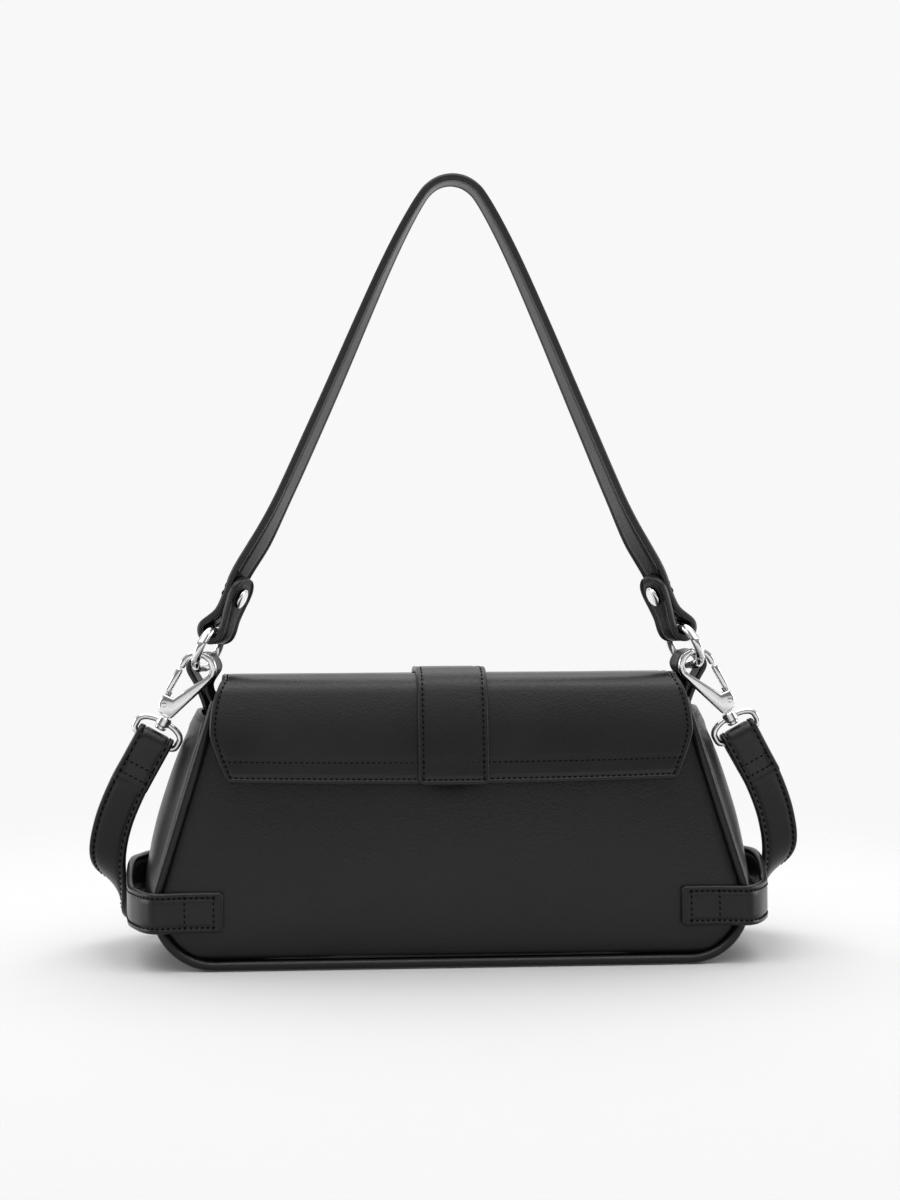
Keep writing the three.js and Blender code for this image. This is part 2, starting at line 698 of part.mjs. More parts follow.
function addHooks() {
  const inner = hookOuter - hookWire;
  const gateOut = hookOffset - hookOuter;
  const gateIn = hookOffset - inner;
  const hinge = [0, -hingeSide];
  for (const [word, side] of [['left', -1], ['right', 1]]) {
    const { at, cut } = hookFrame(side);
    const reach = hookThickness / 2 - 0.2;
    const pin = (size) => rod(at(...hinge, -reach), at(...hinge, reach), size, 12);
    const hole = solid(pin(hookPin + 2 * pinFit));
    const slot = cut(block(gateOut - 1, -1, -hookBlock + 1.2, hookBlock + 1), gateTongue + 2 * pinFit);
    add(`hook_body_${word}`, shown(cut(hookShape(), hookThickness).subtract(slot).subtract(hole)), chrome);
    const bar = cut(block(gateOut, gateIn, hookBlock + 1, hookLength - hookNose - seamGap), hookThickness);
    const lug = cut(block(gateOut + 1, gateIn + 0.5, 0, hookBlock + 2), gateTongue);
    const knuckle = cut(block(gateOut + 1, knuckleHalf - hingeSide, -knuckleHalf, knuckleHalf), gateTongue);
    add(`hook_gate_${word}`, shown(bar.add(lug).add(knuckle).subtract(hole)), chrome);
    add(`hook_pin_${word}`, pin(hookPin), chrome);

    const bossTop = -hookBlock - seamGap;
    const bossFoot = -bailTop - bailWire / 2 - 0.6;
    const stemTop = -hookBlock - seamGap / 2;
    const head = rod(at(bossFoot - seamGap, 0), at(bossFoot - seamGap - 1.5, 0), stemDiameter + 2.6);
    const stem = rod(at(stemTop, 0), at(bossFoot - seamGap - 0.5, 0), stemDiameter);
    add(`swivel_stud_${word}`, shown(join(stem, head)), chrome);

    const middle = -(bailTop + bailBottom) / 2;
    const high = (bailBottom - bailTop) / 2;
    const bow = Array.from({ length: 28 }, (_, i) => {
      const turn = i / 28 * 2 * Math.PI;
      const square = Math.sin(turn) < 0 ? 0.3 : 0.7;
      const round = (x) => Math.sign(x) * Math.abs(x) ** square;
      return at(middle + high * round(Math.sin(turn)), bailHalfWidth * round(Math.cos(turn)));
    });
    const loop = solid(wire(bow, vec(0, 1, 0), bailWire, 8, true));
    const boss = solid(rod(at(bossTop, 0), at(bossFoot, 0), stemDiameter + 3.4));
    const bore = solid(rod(at(bossTop + 1, 0), at(bossFoot - 1, 0), stemDiameter + 2 * pinFit));
    add(`bail_${word}`, shown(loop.add(boss).subtract(bore)), chrome);
  }
}

// The strap's end goes round the bail, then falls beside the bag and turns in behind it.
function strapFall(side, lane) {
  const { at, up } = hookFrame(side);
  const fold = bailWire / 2 + seamGap + strapWall / 2;
  const bar = at(-bailBottom, 0);
  const spot = (s, y) => bar.clone().addScaledVector(up, -s).add(vec(0, y, 0));
  const layer = (strapWall + seamGap) / 2;
  const sewn = [spot(strapFold, -layer), spot(strapFold * 0.55, -layer)];
  const turn = Array.from({ length: 7 }, (_, i) => {
    const angle = Math.PI * i / 6;
    return spot(-fold * Math.sin(angle), -fold * Math.cos(angle));
  });
  const main = [spot(strapFold * 0.55, layer), spot(strapFold, layer + 0.4)];
  const rest = strapRoute.map(([out, y, z]) => vec(side * (baseHalfWidth + out), y, z));
  const foot = strapWidth / 2 + strapLift;
  const end = [22, 10, seamGap].map((far) => vec(side * (strapRun + far), lane - far / 8, foot));
  const points = [...sewn, ...turn, ...main, ...rest, ...end];
  return new THREE.CatmullRomCurve3(points, false, 'centripetal').getPoints(54);
}

function addStrap() {
  const lanes = [0, 1, 2].map((i) => strapRunStart + i * strapPitch);
  for (const [name, side, lane] of [['strap_left', -1, lanes[2]], ['strap_right', 1, lanes[0]]]) {
    const path = strapFall(side, lane);
    const { across } = hookFrame(side);
    const facing = (i) => {
      const share = Math.min(1, Math.max(0, (path[i].y - 2) / 34)) ** 1.2;
      return across.clone().negate().lerp(vec(0, 0, 1), share);
    };
    add(name, strip(path, facing, () => strapWidth, strapWall), leather);
  }
  const foot = strapWidth / 2 + strapLift;
  const runs = [vec(strapRun, lanes[0], foot)];
  const bow = (side, y) => Array.from({ length: 5 }, (_, i) => {
    const turn = -Math.PI / 2 + Math.PI * i / 4;
    const out = strapRun - strapTurn + strapPitch / 2 * Math.cos(turn);
    return vec(side * out, y + strapPitch / 2 * (1 + Math.sin(turn)), foot);
  });
  runs.push(...bow(-1, lanes[0]), ...bow(1, lanes[1]), vec(-strapRun, lanes[2], foot));
  add('strap_folded', strip(runs, () => vec(0, 0, 1), () => strapWidth, strapWall), leather);
}

addPanels();
addGusset();
addInside();
addFlap();
addSnap();
addKeepers();
addRingLoops();
addGateRings();
addHandle();
addHooks();
addStrap();

export default group;
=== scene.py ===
from math import asin, atan, atan2, copysign, cos, exp, hypot, pi, radians, sin, sqrt, tan, tanh

import bmesh
import bpy
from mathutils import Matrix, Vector, noise


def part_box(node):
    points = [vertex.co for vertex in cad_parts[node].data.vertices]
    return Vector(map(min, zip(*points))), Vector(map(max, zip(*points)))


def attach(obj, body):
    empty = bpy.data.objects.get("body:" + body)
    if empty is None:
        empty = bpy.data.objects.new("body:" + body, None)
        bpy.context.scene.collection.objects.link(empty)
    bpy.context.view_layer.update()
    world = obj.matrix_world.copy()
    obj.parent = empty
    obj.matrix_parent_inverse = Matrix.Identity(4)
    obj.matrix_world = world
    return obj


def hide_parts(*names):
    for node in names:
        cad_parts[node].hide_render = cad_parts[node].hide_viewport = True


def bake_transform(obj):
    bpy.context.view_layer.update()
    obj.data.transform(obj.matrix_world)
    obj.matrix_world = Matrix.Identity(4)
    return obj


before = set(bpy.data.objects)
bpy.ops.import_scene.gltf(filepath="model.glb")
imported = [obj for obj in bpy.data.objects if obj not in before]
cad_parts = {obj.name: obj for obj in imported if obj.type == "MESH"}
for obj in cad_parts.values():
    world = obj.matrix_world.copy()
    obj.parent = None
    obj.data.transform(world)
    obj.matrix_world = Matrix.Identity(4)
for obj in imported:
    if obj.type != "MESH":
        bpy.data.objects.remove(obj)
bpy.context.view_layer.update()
bothSides = (("left", -1), ("right", 1))
bothFaces = (("front", -1), ("back", 1))
millimetre = 0.001
noEnd = 1000  # distance to a cut end where there is none
noSeam = 60  # distance to a pressed seam line where there is none
sharpAbove = {"sheet": 60, "wire": 45, "turned": 40}  # degrees at which an edge is shaded sharp

# the shell's sizes; lengths are in millimetres here, and in metres only where a note says so
bag = {"height": 129, "baseHalf": 148, "topHalf": 108, "corner": 29, "baseDepth": 74, "topDepth": 40,
       "panelTop": 122, "bend": 7, "gap": 0.3, "piping": 4.2, "tuck": 0.9,
       "footSwell": 0.55, "sideSwell": 0.36, "topSwell": 0.45}
slope = (bag["baseHalf"] - bag["topHalf"]) / bag["height"]
lean = atan(slope)
cornerX = bag["baseHalf"] - bag["corner"] * tan(pi / 4 + lean / 2)
faceTilt = (bag["baseDepth"] - bag["topDepth"]) / 2 / bag["height"]


def clamp(value, low=0, high=1):
    return max(low, min(high, value))


def ease(share):  # slow at both ends
    return share * share * (3 - 2 * share)


def spread(start, end, steps):  # evenly spaced values, both ends among them
    return [start + (end - start) * k / steps for k in range(steps + 1)]


def hump(d, place, width):
    return exp(-((d - place) / width) ** 2)


def middleOf(nodeName):  # centre of a CAD node, in millimetres
    low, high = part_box(nodeName)
    return (low + high) * (0.5 / millimetre)


def halfDepth(z):
    return bag["baseDepth"] / 2 + (bag["topDepth"] - bag["baseDepth"]) / 2 * z / bag["height"]


def panelEdge(z, inset):  # half width of the trapezium with its round lower corners
    radius = bag["corner"] - inset
    footZ = bag["corner"] + radius * sin(lean)
    if z < footZ:
        return cornerX + sqrt(max(0, radius ** 2 - (bag["corner"] - z) ** 2))
    return cornerX + radius * cos(lean) - slope * (z - footZ)


def outline(inset, top):  # right side from the base corner up: place, way out, share of the bulge
    radius = bag["corner"] - inset
    spots = []
    for share in spread(0, 1, 16):
        turn = -pi / 2 + (pi / 2 + lean) * share
        out = Vector((cos(turn), 0, sin(turn)))
        spots.append((Vector((cornerX, 0, bag["corner"])) + out * radius, out, share ** 2 * bag["footSwell"]))
    foot = spots[-1][0]
    out = Vector((cos(lean), 0, sin(lean)))
    for t in spread(0, 1, 22)[1:]:
        z = foot.z + (top - foot.z) * t
        swell = bag["footSwell"] + (bag["topSwell"] - bag["footSwell"]) * t
        swell += bag["sideSwell"] * 4 * t * (1 - t)
        spots.append((Vector((foot.x - slope * (z - foot.z), 0, z)), out, swell))
    return spots


def softWave(x, y, z, size, amount):  # slow unevenness of hand-made leather goods
    return amount * noise.noise(Vector((x, y, z)) / size)


def curveThrough(points, count):  # centripetal curve through points, as the CAD routes its strips
    places = []
    last = len(points) - 1
    for step in range(count + 1):
        spot = last * step / count
        i = min(int(spot), last - 1)
        t = spot - i
        p1, p2 = points[i], points[i + 1]
        p0 = points[i - 1] if i else p1 * 2 - p2
        p3 = points[i + 2] if i + 2 <= last else p2 * 2 - p1
        d0, d1, d2 = [max((b - a).length, 1e-4) ** 0.5 for a, b in ((p0, p1), (p1, p2), (p2, p3))]
        m1 = ((p1 - p0) / d0 - (p2 - p0) / (d0 + d1) + (p2 - p1) / d1) * d1
        m2 = ((p2 - p1) / d1 - (p3 - p1) / (d1 + d2) + (p3 - p2) / d2) * d1
        square = p2 * 3 - p1 * 3 - m1 * 2 - m2
        cube = p1 * 2 - p2 * 2 + m1 + m2
        places.append(p1 + m1 * t + square * t ** 2 + cube * t ** 3)
    return places


def distances(path):  # how far along the path each place is
    far = [0]
    for a, b in zip(path, path[1:]):
        far.append(far[-1] + (b - a).length)
    return far


def indexAt(path, distance):
    return next(i for i, far in enumerate(distances(path)) if far >= distance)


def addObject(name, data):
    item = bpy.data.objects.new(name, data)
    bpy.context.scene.collection.objects.link(item)
    return item


def newPiece(name, points, faces, materials, faceSlots=None, flatAbove=None):
    mesh = bpy.data.meshes.new(name)
    mesh.from_pydata([tuple(p * millimetre) for p in points], [], faces)
    for material in materials:
        mesh.materials.append(material)
    if faceSlots:
        mesh.polygons.foreach_set("material_index", faceSlots)
    work = bmesh.new()
    work.from_mesh(mesh)
    bmesh.ops.remove_doubles(work, verts=work.verts, dist=1e-7)
    bmesh.ops.recalc_face_normals(work, faces=work.faces)
    for face in work.faces:
        face.smooth = True
    if flatAbove:
        for edge in work.edges:
            edge.smooth = len(edge.link_faces) == 2 and edge.calc_face_angle() < radians(flatAbove)
    work.to_mesh(mesh)
    work.free()
    return addObject(name, mesh)


edgeRound = ((0.22, 0.75), (0.5, 1), (0.78, 0.75))  # shares of the wall and of the swell, round a cut edge


def slab(name, grid, materials, swell=0.35, openStart=False, openEnd=False):
    # rows of (outer, inner) places, joined by a round painted edge; slot 1 is the edge, whose edge paint is
    # lighter than the leather as a painted highlight
    top = [[a for a, b in row] for row in grid]
    under = [[b for a, b in row] for row in grid]
    rows, columns = len(top), len(top[0])
    points = [p for row in top + under for p in row]
    shift = rows * columns
    faces, slots = [], []
    for i in range(rows - 1):
        for j in range(columns - 1):
            a = i * columns + j
            faces.append((a, a + 1, a + columns + 1, a + columns))
            faces.append((shift + a + columns, shift + a + columns + 1, shift + a + 1, shift + a))
            slots += [0, 0]
    rim = [(0, j) for j in range(columns)] + [(i, columns - 1) for i in range(1, rows)]
    rim += [(rows - 1, j) for j in range(columns - 2, -1, -1)] + [(i, 0) for i in range(rows - 2, 0, -1)]
    middle = {}
    for i, j in rim:
        a, b = top[i][j], under[i][j]
        column = clamp(j, 1, columns - 2)
        row = i if (openStart and i == 0) or (openEnd and i == rows - 1) else clamp(i, 1, rows - 2)
        out = a - top[row][column]
        if out.length > 1e-6:
            out.normalize()
        middle[i, j] = list(range(len(points), len(points) + len(edgeRound)))
        points += [a.lerp(b, share) + out * swell * bulge for share, bulge in edgeRound]
    for (i, j), (i2, j2) in zip(rim, rim[1:] + rim[:1]):
        first = [i * columns + j] + middle[i, j] + [shift + i * columns + j]
        second = [i2 * columns + j2] + middle[i2, j2] + [shift + i2 * columns + j2]
        for low, high, lowNext, highNext in zip(first, first[1:], second, second[1:]):
            faces.append((low, high, highNext, lowNext))
            slots.append(1 if len(materials) > 1 else 0)
    return newPiece(name, points, faces, materials, slots, sharpAbove["sheet"])


def tube(name, rings, material, kind, closed=False):  # rings of points, each joined to the next
    count, sides = len(rings), len(rings[0])
    faces = []
    for i in range(count if closed else count - 1):
        a, b = i * sides, (i + 1) % count * sides
        for j in range(sides):
            k = (j + 1) % sides
            faces.append((a + j, a + k, b + k, b + j))
    if not closed:
        faces.append(tuple(range(sides)))
        faces.append(tuple(range((count - 1) * sides, count * sides)))
    points = [p for ring in rings for p in ring]
    return newPiece(name, points, faces, [material], flatAbove=sharpAbove[kind])


cutEdge = {"radius": 0.9, "drop": 0.8, "groove": 0.45, "grooveWidth": 0.8,
           "ridge": 0.12, "ridgeAt": 1.4, "ridgeWidth": 0.7}
nearEdge = (0, 0.2, 0.55, 1.0, 1.6, 2.2, 2.7, 3.2, 3.7, 4.3, 5.4)
nearEdgeHalf = 7  # a strip with a smaller half width has its edge rows drawn together


def roundIn(half, end, corner):  # half width near a cut end with round corners
    if end < corner:
        half -= corner - sqrt(corner ** 2 - (corner - end) ** 2)
    return half


def edgeShape(d, seam):  # how far the face rises, d from a cut edge
    radius = cutEdge["radius"]
    drop = radius - sqrt(radius ** 2 - (radius - d) ** 2) if d < radius else 0
    groove = cutEdge["groove"] * hump(d, seam, cutEdge["grooveWidth"])
    ridge = cutEdge["ridge"] * hump(d, cutEdge["ridgeAt"], cutEdge["ridgeWidth"])
    return -cutEdge["drop"] * drop - groove + ridge


def across(half, inner):  # places across a strip, close together near both edges
    left = [d * min(1, half / nearEdgeHalf) - half for d in nearEdge]
    middle = [left[-1] * (1 - 2 * k / inner) for k in range(1, inner)]
    return left + middle + [-x for x in reversed(left)]


def frames(path, acrossAt):  # along, sideways and face direction at each place of a strip
    found = []
    for i, p in enumerate(path):
        along = (path[min(i + 1, len(path) - 1)] - path[max(i - 1, 0)]).normalized()
        face = along.cross(acrossAt(i)).normalized()
        found.append((p, along, face.cross(along).normalized(), face))
    return found


def ribbon(name, path, acrossAt, width, wall, tip, inner, seam=2.6):  # a leather strip along a path
    far = distances(path)
    grid = []
    for i, (p, along, side, face) in enumerate(frames(path, acrossAt)):
        before, after = far[i], far[-1] - far[i]
        half = roundIn(roundIn(width(i) / 2, before, tip), after, tip)
        end = min(before, after) if tip else noEnd
        lifts = [(p + side * u, face * (wall / 2 + edgeShape(min(half - abs(u), end), seam)))
                 for u in across(half, inner)]
        grid.append([(spot + lift, spot - lift) for spot, lift in lifts])
    return slab(name, grid, hide)


def sweptWire(name, path, size, material, normal, sides, closed=False, startCut=None, endCut=None):
    count = len(path)
    rings = []
    for i, p in enumerate(path):
        before = path[i - 1] if closed or i else p
        after = path[(i + 1) % count] if closed or i < count - 1 else p
        along = (after - before).normalized()
        out = along.cross(normal).normalized()
        flat = out.cross(along).normalized()
        cut = startCut if i == 0 else endCut if i == count - 1 else None
        rim = []
        for turn in spread(0, 2 * pi, sides)[:-1]:
            spot = p + (flat * cos(turn) + out * sin(turn)) * size(i) / 2
            if cut:  # slide the end's rim along the wire onto a slanted face
                spot += along * (cut[0] - spot).dot(cut[1]) / along.dot(cut[1])
            rim.append(spot)
        rings.append(rim)
    return tube(name, rings, material, "wire", closed)


def turned(name, profile, foot, axis, segments=32):  # (radius, height) pairs spun about an axis
    axis = axis.normalized()
    sideways = axis.orthogonal().normalized()
    third = axis.cross(sideways)
    rings = []
    for radius, height in profile:
        rings.append([foot + axis * height + (sideways * cos(turn) + third * sin(turn)) * radius
                      for turn in spread(0, 2 * pi, segments)[:-1]])
    return tube(name, rings, chrome, "turned")


def makePlain(piece):  # applies the modifiers, so the piece is a plain mesh
    bpy.context.view_layer.update()
    ready = piece.evaluated_get(bpy.context.evaluated_depsgraph_get())
    mesh = bpy.data.meshes.new_from_object(ready)
    piece.modifiers.clear()
    piece.data = mesh
    return piece


def finishWith(piece, kind, **settings):
    modifier = piece.modifiers.new(kind.lower(), kind)
    for key, value in settings.items():
        setattr(modifier, key, value)
    return makePlain(piece)


def combine(piece, other, operation):
    finishWith(piece, "BOOLEAN", operation=operation, object=other, solver="EXACT")
    bpy.data.objects.remove(other)


def settle(piece, body, slotName, *nodes, blend=None):
    if blend:
        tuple(blend[2])
        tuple(blend[3])
        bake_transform(piece)
    else:
        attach(piece, body)
    if nodes:
        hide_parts(*nodes)


# materials

def linear(code):
    parts = [int(code[i:i + 2], 16) / 255 for i in (1, 3, 5)]
    return tuple(c / 12.92 if c <= 0.04045 else ((c + 0.055) / 1.055) ** 2.4 for c in parts) + (1,)


def node(tree, kind, values=None, links=None, **settings):
    made = tree.nodes.new(kind)
    for key, value in settings.items():
        setattr(made, key, value)
    for key, value in (values or {}).items():
        made.inputs[key].default_value = value
    for key, source in (links or {}).items():  # a node stands for its first output
        tree.links.new(getattr(source, "outputs", [source])[0], made.inputs[key])
    return made


def newMaterial(name):
    material = bpy.data.materials.new(name)
    material.use_nodes = True
    tree = material.node_tree
    tree.nodes.clear()
    return material, tree, {"Vector": node(tree, "ShaderNodeTexCoord").outputs["Object"]}


def perMillimetre(size):  # texture scale for a pattern of that many millimetres
    return 1000 / size


def finishMaterial(tree, look, pattern, height=None):
    # the pattern brings in the second colour and the range of roughness, where a look has them
    values, links = dict(look["shader"]), {}
    if "second" in look:
        colours = {6: linear(look["colour"]), 7: linear(look["second"])}
        links["Base Color"] = node(tree, "ShaderNodeMix", colours, {0: pattern}, data_type="RGBA").outputs[2]
    else:
        values["Base Color"] = linear(look["colour"])
    if "rough" in look:
        span = dict(zip(("From Min", "From Max", "To Min", "To Max"), look["rough"]))
        links["Roughness"] = node(tree, "ShaderNodeMapRange", span, {"Value": pattern})
    if height:
        bump = {"Strength": look["bump"], "Distance": look["lift"] * millimetre}
        links["Normal"] = node(tree, "ShaderNodeBump", bump, {"Height": height})
    shader = node(tree, "ShaderNodeBsdfPrincipled", values, links)
    node(tree, "ShaderNodeOutputMaterial", links={"Surface": shader})


# looks: pattern sizes and the bump's lift in millimetres; rough is a range of the pattern, then of roughness

leatherLook = {"colour": "#131314", "second": "#19191a", "patch": 38, "rough": (0.3, 0.7, 0.29, 0.39),
               "grain": 0.9, "crease": 2.6, "creaseShare": 0.55, "lift": 0.28, "bump": 0.28,
               "shader": {"IOR": 1.5}}


def makeLeather():
    # coated split leather, plated smooth: near black, satin, a fine pebble grain with soft patches of polish
    material, tree, place = newMaterial("coatedLeather")
    patches = node(tree, "ShaderNodeTexNoise",
                   {"Scale": perMillimetre(leatherLook["patch"]), "Detail": 3.0}, place)
    # a real grain of 0.4 mm is finer than a pixel, so it is drawn about twice as coarse
    cells = node(tree, "ShaderNodeTexVoronoi", {"Scale": perMillimetre(leatherLook["grain"])}, place,
                 feature="SMOOTH_F1")
    creases = node(tree, "ShaderNodeTexNoise",
                   {"Scale": perMillimetre(leatherLook["crease"]), "Detail": 4.0, "Roughness": 0.6}, place)
    height = node(tree, "ShaderNodeMath", {1: leatherLook["creaseShare"]}, {0: creases, 2: cells},
                  operation="MULTIPLY_ADD")
    finishMaterial(tree, leatherLook, patches, height)
    return material


# the edge paint is real, but its colour is lighter than the leather's as a painted highlight along every
# rounded cut edge
edgeHighlightLook = {"colour": "#2b2b2c", "ripple": 3.0, "lift": 0.15, "bump": 0.5,
            "shader": {"Roughness": 0.34, "IOR": 1.5}}


def makeEdgePaintAndHighlight():
    # brushed-on edge paint: a smooth satin film with faint ripples along the cut; its grey, lighter than the
    # leather, is a painted highlight along the rounded cut edges
    material, tree, place = newMaterial("edgePaintAndHighlight")
    ripple = node(tree, "ShaderNodeTexNoise",
                  {"Scale": perMillimetre(edgeHighlightLook["ripple"]), "Detail": 2.0}, place)
    finishMaterial(tree, edgeHighlightLook, ripple, ripple)
    return material


threadLook = {"colour": "#050505", "twist": 0.5, "lift": 0.1, "bump": 0.4,
              "shader": {"Roughness": 0.8, "Specular IOR Level": 0.12}}


def makeThread():
    # bonded polyester thread: black, a little waxy, with the twist of three plies
    material, tree, place = newMaterial("bondedThread")
    twist = node(tree, "ShaderNodeTexNoise", {"Scale": perMillimetre(threadLook["twist"])}, place)
    finishMaterial(tree, threadLook, twist, twist)
    return material


liningLook = {"colour": "#17171a", "second": "#2b2b30", "rib": 0.9, "wander": 0.6, "lift": 0.06, "bump": 0.6,
              "shader": {"Roughness": 0.85, "Sheen Weight": 0.15}}


def makeLiningCloth():
    # woven polyester twill: matt black, with diagonal ribs
    # a real rib of about 0.4 mm is too fine to show, so it is drawn about twice as coarse
    material, tree, place = newMaterial("twillLining")
    turn = pi / (5 * sqrt(2))  # the diagonal wave's own pitch is 0.2 pi in x + y + z
    ribs = node(tree, "ShaderNodeTexWave",
                {"Scale": perMillimetre(liningLook["rib"]) * turn, "Distortion": liningLook["wander"],
                 "Detail": 1.0}, place, wave_type="BANDS", bands_direction="DIAGONAL").outputs["Fac"]
    finishMaterial(tree, liningLook, ribs, ribs)
    return material


chromeLook = {"colour": "#f0f0f0", "smear": 9.0, "rough": (0.35, 0.75, 0.08, 0.16),
              "shader": {"Metallic": 1.0}}


def makeChrome():
    # plated zinc casting, polished: mirror bright, with a faint haze where fingers touch it
    material, tree, place = newMaterial("polishedPlate")
    smear = node(tree, "ShaderNodeTexNoise",
                 {"Scale": perMillimetre(chromeLook["smear"]), "Detail": 4.0}, place)
    finishMaterial(tree, chromeLook, smear)
    return material


boardLook = {"colour": "#5b5148", "second": "#6f6458", "fibre": 2.0, "shader": {"Roughness": 0.9}}


def makeBoard():
    # grey-brown bag board, pressed fibre with flecks
    material, tree, place = newMaterial("pressedBoard")
    fibre = node(tree, "ShaderNodeTexNoise",
                 {"Scale": perMillimetre(boardLook["fibre"]), "Detail": 6.0}, place)
    finishMaterial(tree, boardLook, fibre)
    return material


leather, edgePaintAndHighlight, thread = makeLeather(), makeEdgePaintAndHighlight(), makeThread()
liningCloth, chrome, pressedBoard = makeLiningCloth(), makeChrome(), makeBoard()
hide = [leather, edgePaintAndHighlight]
print("materials ready")

# stitches: rows are gathered piece by piece, then laid by one node tree

fineStitch = {"pitch": 2.5, "length": 1.75, "width": 0.85, "height": 0.6, "slant": 6}
strapStitch = {"pitch": 3.6, "length": 2.6, "width": 0.9, "height": 0.6, "slant": 5}
sewn = {"sink": 0.06, "rise": 0.02, "step": 3}
stitchRows = {}


def sew(group, points, faces):
    stitchRows.setdefault(group, []).append((points, faces))


def sewRibbon(group, path, acrossAt, seam, wall, first, last, sign):  # along both edges of a strip
    spots = frames(path, acrossAt)[first:last]
    for u in (-seam, seam):
        rows = [p + side * u + face * sign * (wall / 2 - sewn["sink"]) for p, along, side, face in spots]
        sew(group, rows, [face * sign for p, along, side, face in spots])


def sewAcross(group, spot, seam, wall, sign):  # a short row across a strip
    p, along, side, face = spot
    steps = (-seam, -sewn["step"], 0, sewn["step"], seam)
    row = [p + side * u + face * sign * (wall / 2 + sewn["rise"]) for u in steps]
    sew(group, row, [face * sign] * len(row))


def stitchTree():
    tree = bpy.data.node_groups.new("stitches", "GeometryNodeTree")
    tree.interface.new_socket("Rows", in_out="INPUT", socket_type="NodeSocketGeometry")
    for word in ("Pitch", "Length", "Width", "Height", "Slant"):
        tree.interface.new_socket(word, in_out="INPUT", socket_type="NodeSocketFloat")
    tree.interface.new_socket("Thread", in_out="INPUT", socket_type="NodeSocketMaterial")
    tree.interface.new_socket("Stitches", in_out="OUTPUT", socket_type="NodeSocketGeometry")
    given = node(tree, "NodeGroupInput").outputs
    curve = node(tree, "GeometryNodeMeshToCurve", links={0: given["Rows"]})
    places = node(tree, "GeometryNodeResampleCurve",
                  links={"Curve": curve, "Length": given["Pitch"]}, mode="LENGTH")
    tangent = node(tree, "GeometryNodeInputTangent")
    lift = node(tree, "GeometryNodeInputNamedAttribute", {"Name": "lift"}, data_type="FLOAT_VECTOR")
    upright = node(tree, "FunctionNodeAlignEulerToVector", links={"Vector": lift}, axis="Z")
    turn = node(tree, "FunctionNodeAlignEulerToVector",
                links={"Rotation": upright, "Vector": tangent}, axis="X", pivot_axis="Z")
    angle = node(tree, "ShaderNodeCombineXYZ", links={"Z": given["Slant"]})
    slanted = node(tree, "FunctionNodeRotateEuler", links={0: turn, 1: angle}, space="LOCAL")
    bead = node(tree, "GeometryNodeMeshUVSphere", {"Segments": 6, "Rings": 4, "Radius": 0.5})
    size = node(tree, "ShaderNodeCombineXYZ",
                links={"X": given["Length"], "Y": given["Width"], "Z": given["Height"]})
    shaped = node(tree, "GeometryNodeTransform", links={"Geometry": bead, "Scale": size})
    laid = node(tree, "GeometryNodeInstanceOnPoints",
                links={"Points": places, "Instance": shaped, "Rotation": slanted})
    real = node(tree, "GeometryNodeRealizeInstances", links={0: laid})
    smooth = node(tree, "GeometryNodeSetShadeSmooth", links={0: real})
    coloured = node(tree, "GeometryNodeSetMaterial", links={"Geometry": smooth, "Material": given["Thread"]})
    node(tree, "NodeGroupOutput", links={0: coloured})
    return tree


def laySeams(tree, group, look):
    name = group + "Stitches"
    mesh = bpy.data.meshes.new(name)
    points, edges, lifts = [], [], []
    for row, faces in stitchRows[group]:
        start = len(points)
        points += [tuple(p * millimetre) for p in row]
        lifts += [c for face in faces for c in face]
        edges += [(start + k, start + k + 1) for k in range(len(row) - 1)]
    mesh.from_pydata(points, edges, [])
    mesh.attributes.new("lift", "FLOAT_VECTOR", "POINT").data.foreach_set("vector", lifts)
    piece = addObject(name, mesh)
    modifier = piece.modifiers.new("stitches", "NODES")
    modifier.node_group = tree
    names = {item.name: item.identifier for item in tree.interface.items_tree if item.in_out == "INPUT"}
    for word in ("pitch", "length", "width", "height"):
        modifier[names[word.capitalize()]] = look[word] * millimetre
    modifier[names["Slant"]] = radians(look["slant"])
    modifier[names["Thread"]] = thread
    return makePlain(piece)


# body: two faces, a piping bead round each, two side gussets and the base

panel = {"inset": 3.6, "wall": 1.6, "crown": 1.6, "crownPower": 0.8, "dip": 2.4, "dipWidth": 1.6, "foot": 2.6,
         "footHigh": 13, "wave": 0.45, "waveSize": 62, "waveApart": 40, "calmEdge": 14, "snapFlat": 15,
         "crowded": 0.45, "swell": 0.1}


def panelRise(x, z, side, edge, snapAt):  # how far a face stands out from its flat plane
    low = panel["inset"]
    share = (z - low) / (bag["panelTop"] - low)
    close = min(edge - abs(x), z - low)
    rise = panel["crown"] * (1 - (x / edge) ** 2) * max(0, sin(pi * share)) ** panel["crownPower"]
    wave = softWave(x, side * panel["waveApart"], z, panel["waveSize"], panel["wave"])
    rise += wave * min(1, close / panel["calmEdge"])
    rise -= panel["dip"] * exp(-close / panel["dipWidth"])
    rise -= panel["foot"] * exp(-(z - low) / panel["footHigh"])
    if side < 0:  # the snap pulls the leather flat round itself
        rise *= 1 - exp(-(hypot(x - snapAt.x, z - snapAt.z) / panel["snapFlat"]) ** 4)
    return rise


def makePanels():
    radius = bag["corner"] - panel["inset"]
    rowsZ = [bag["corner"] - radius * cos(turn) for turn in spread(0, pi / 2, 16)]
    rowsZ += spread(rowsZ[-1], bag["panelTop"], 34)[1:]
    snapAt = middleOf("snap_stud")
    for name, side in bothFaces:
        grid = []
        for z in rowsZ:
            edge = panelEdge(z, panel["inset"])
            row = []
            for u in spread(-1, 1, 96):
                x = edge * sin(u * pi / 2) * panel["crowded"] + edge * u * (1 - panel["crowded"])
                y = halfDepth(z) + panelRise(x, z, side, edge, snapAt)
                row.append((Vector((x, side * y, z)), Vector((x, side * (y - panel["wall"]), z))))
            grid.append(row)
        piece = slab(name + "Face", grid, [leather], panel["swell"])
        settle(piece, "bag", "leather", name + "_panel")


piping = {"size": 4.4, "inset": 2.3, "proud": 0.5, "topGap": 1, "baseRun": (-80, -50, -20, 0, 20, 50, 80),
          "wave": 0.12, "waveSize": 22}


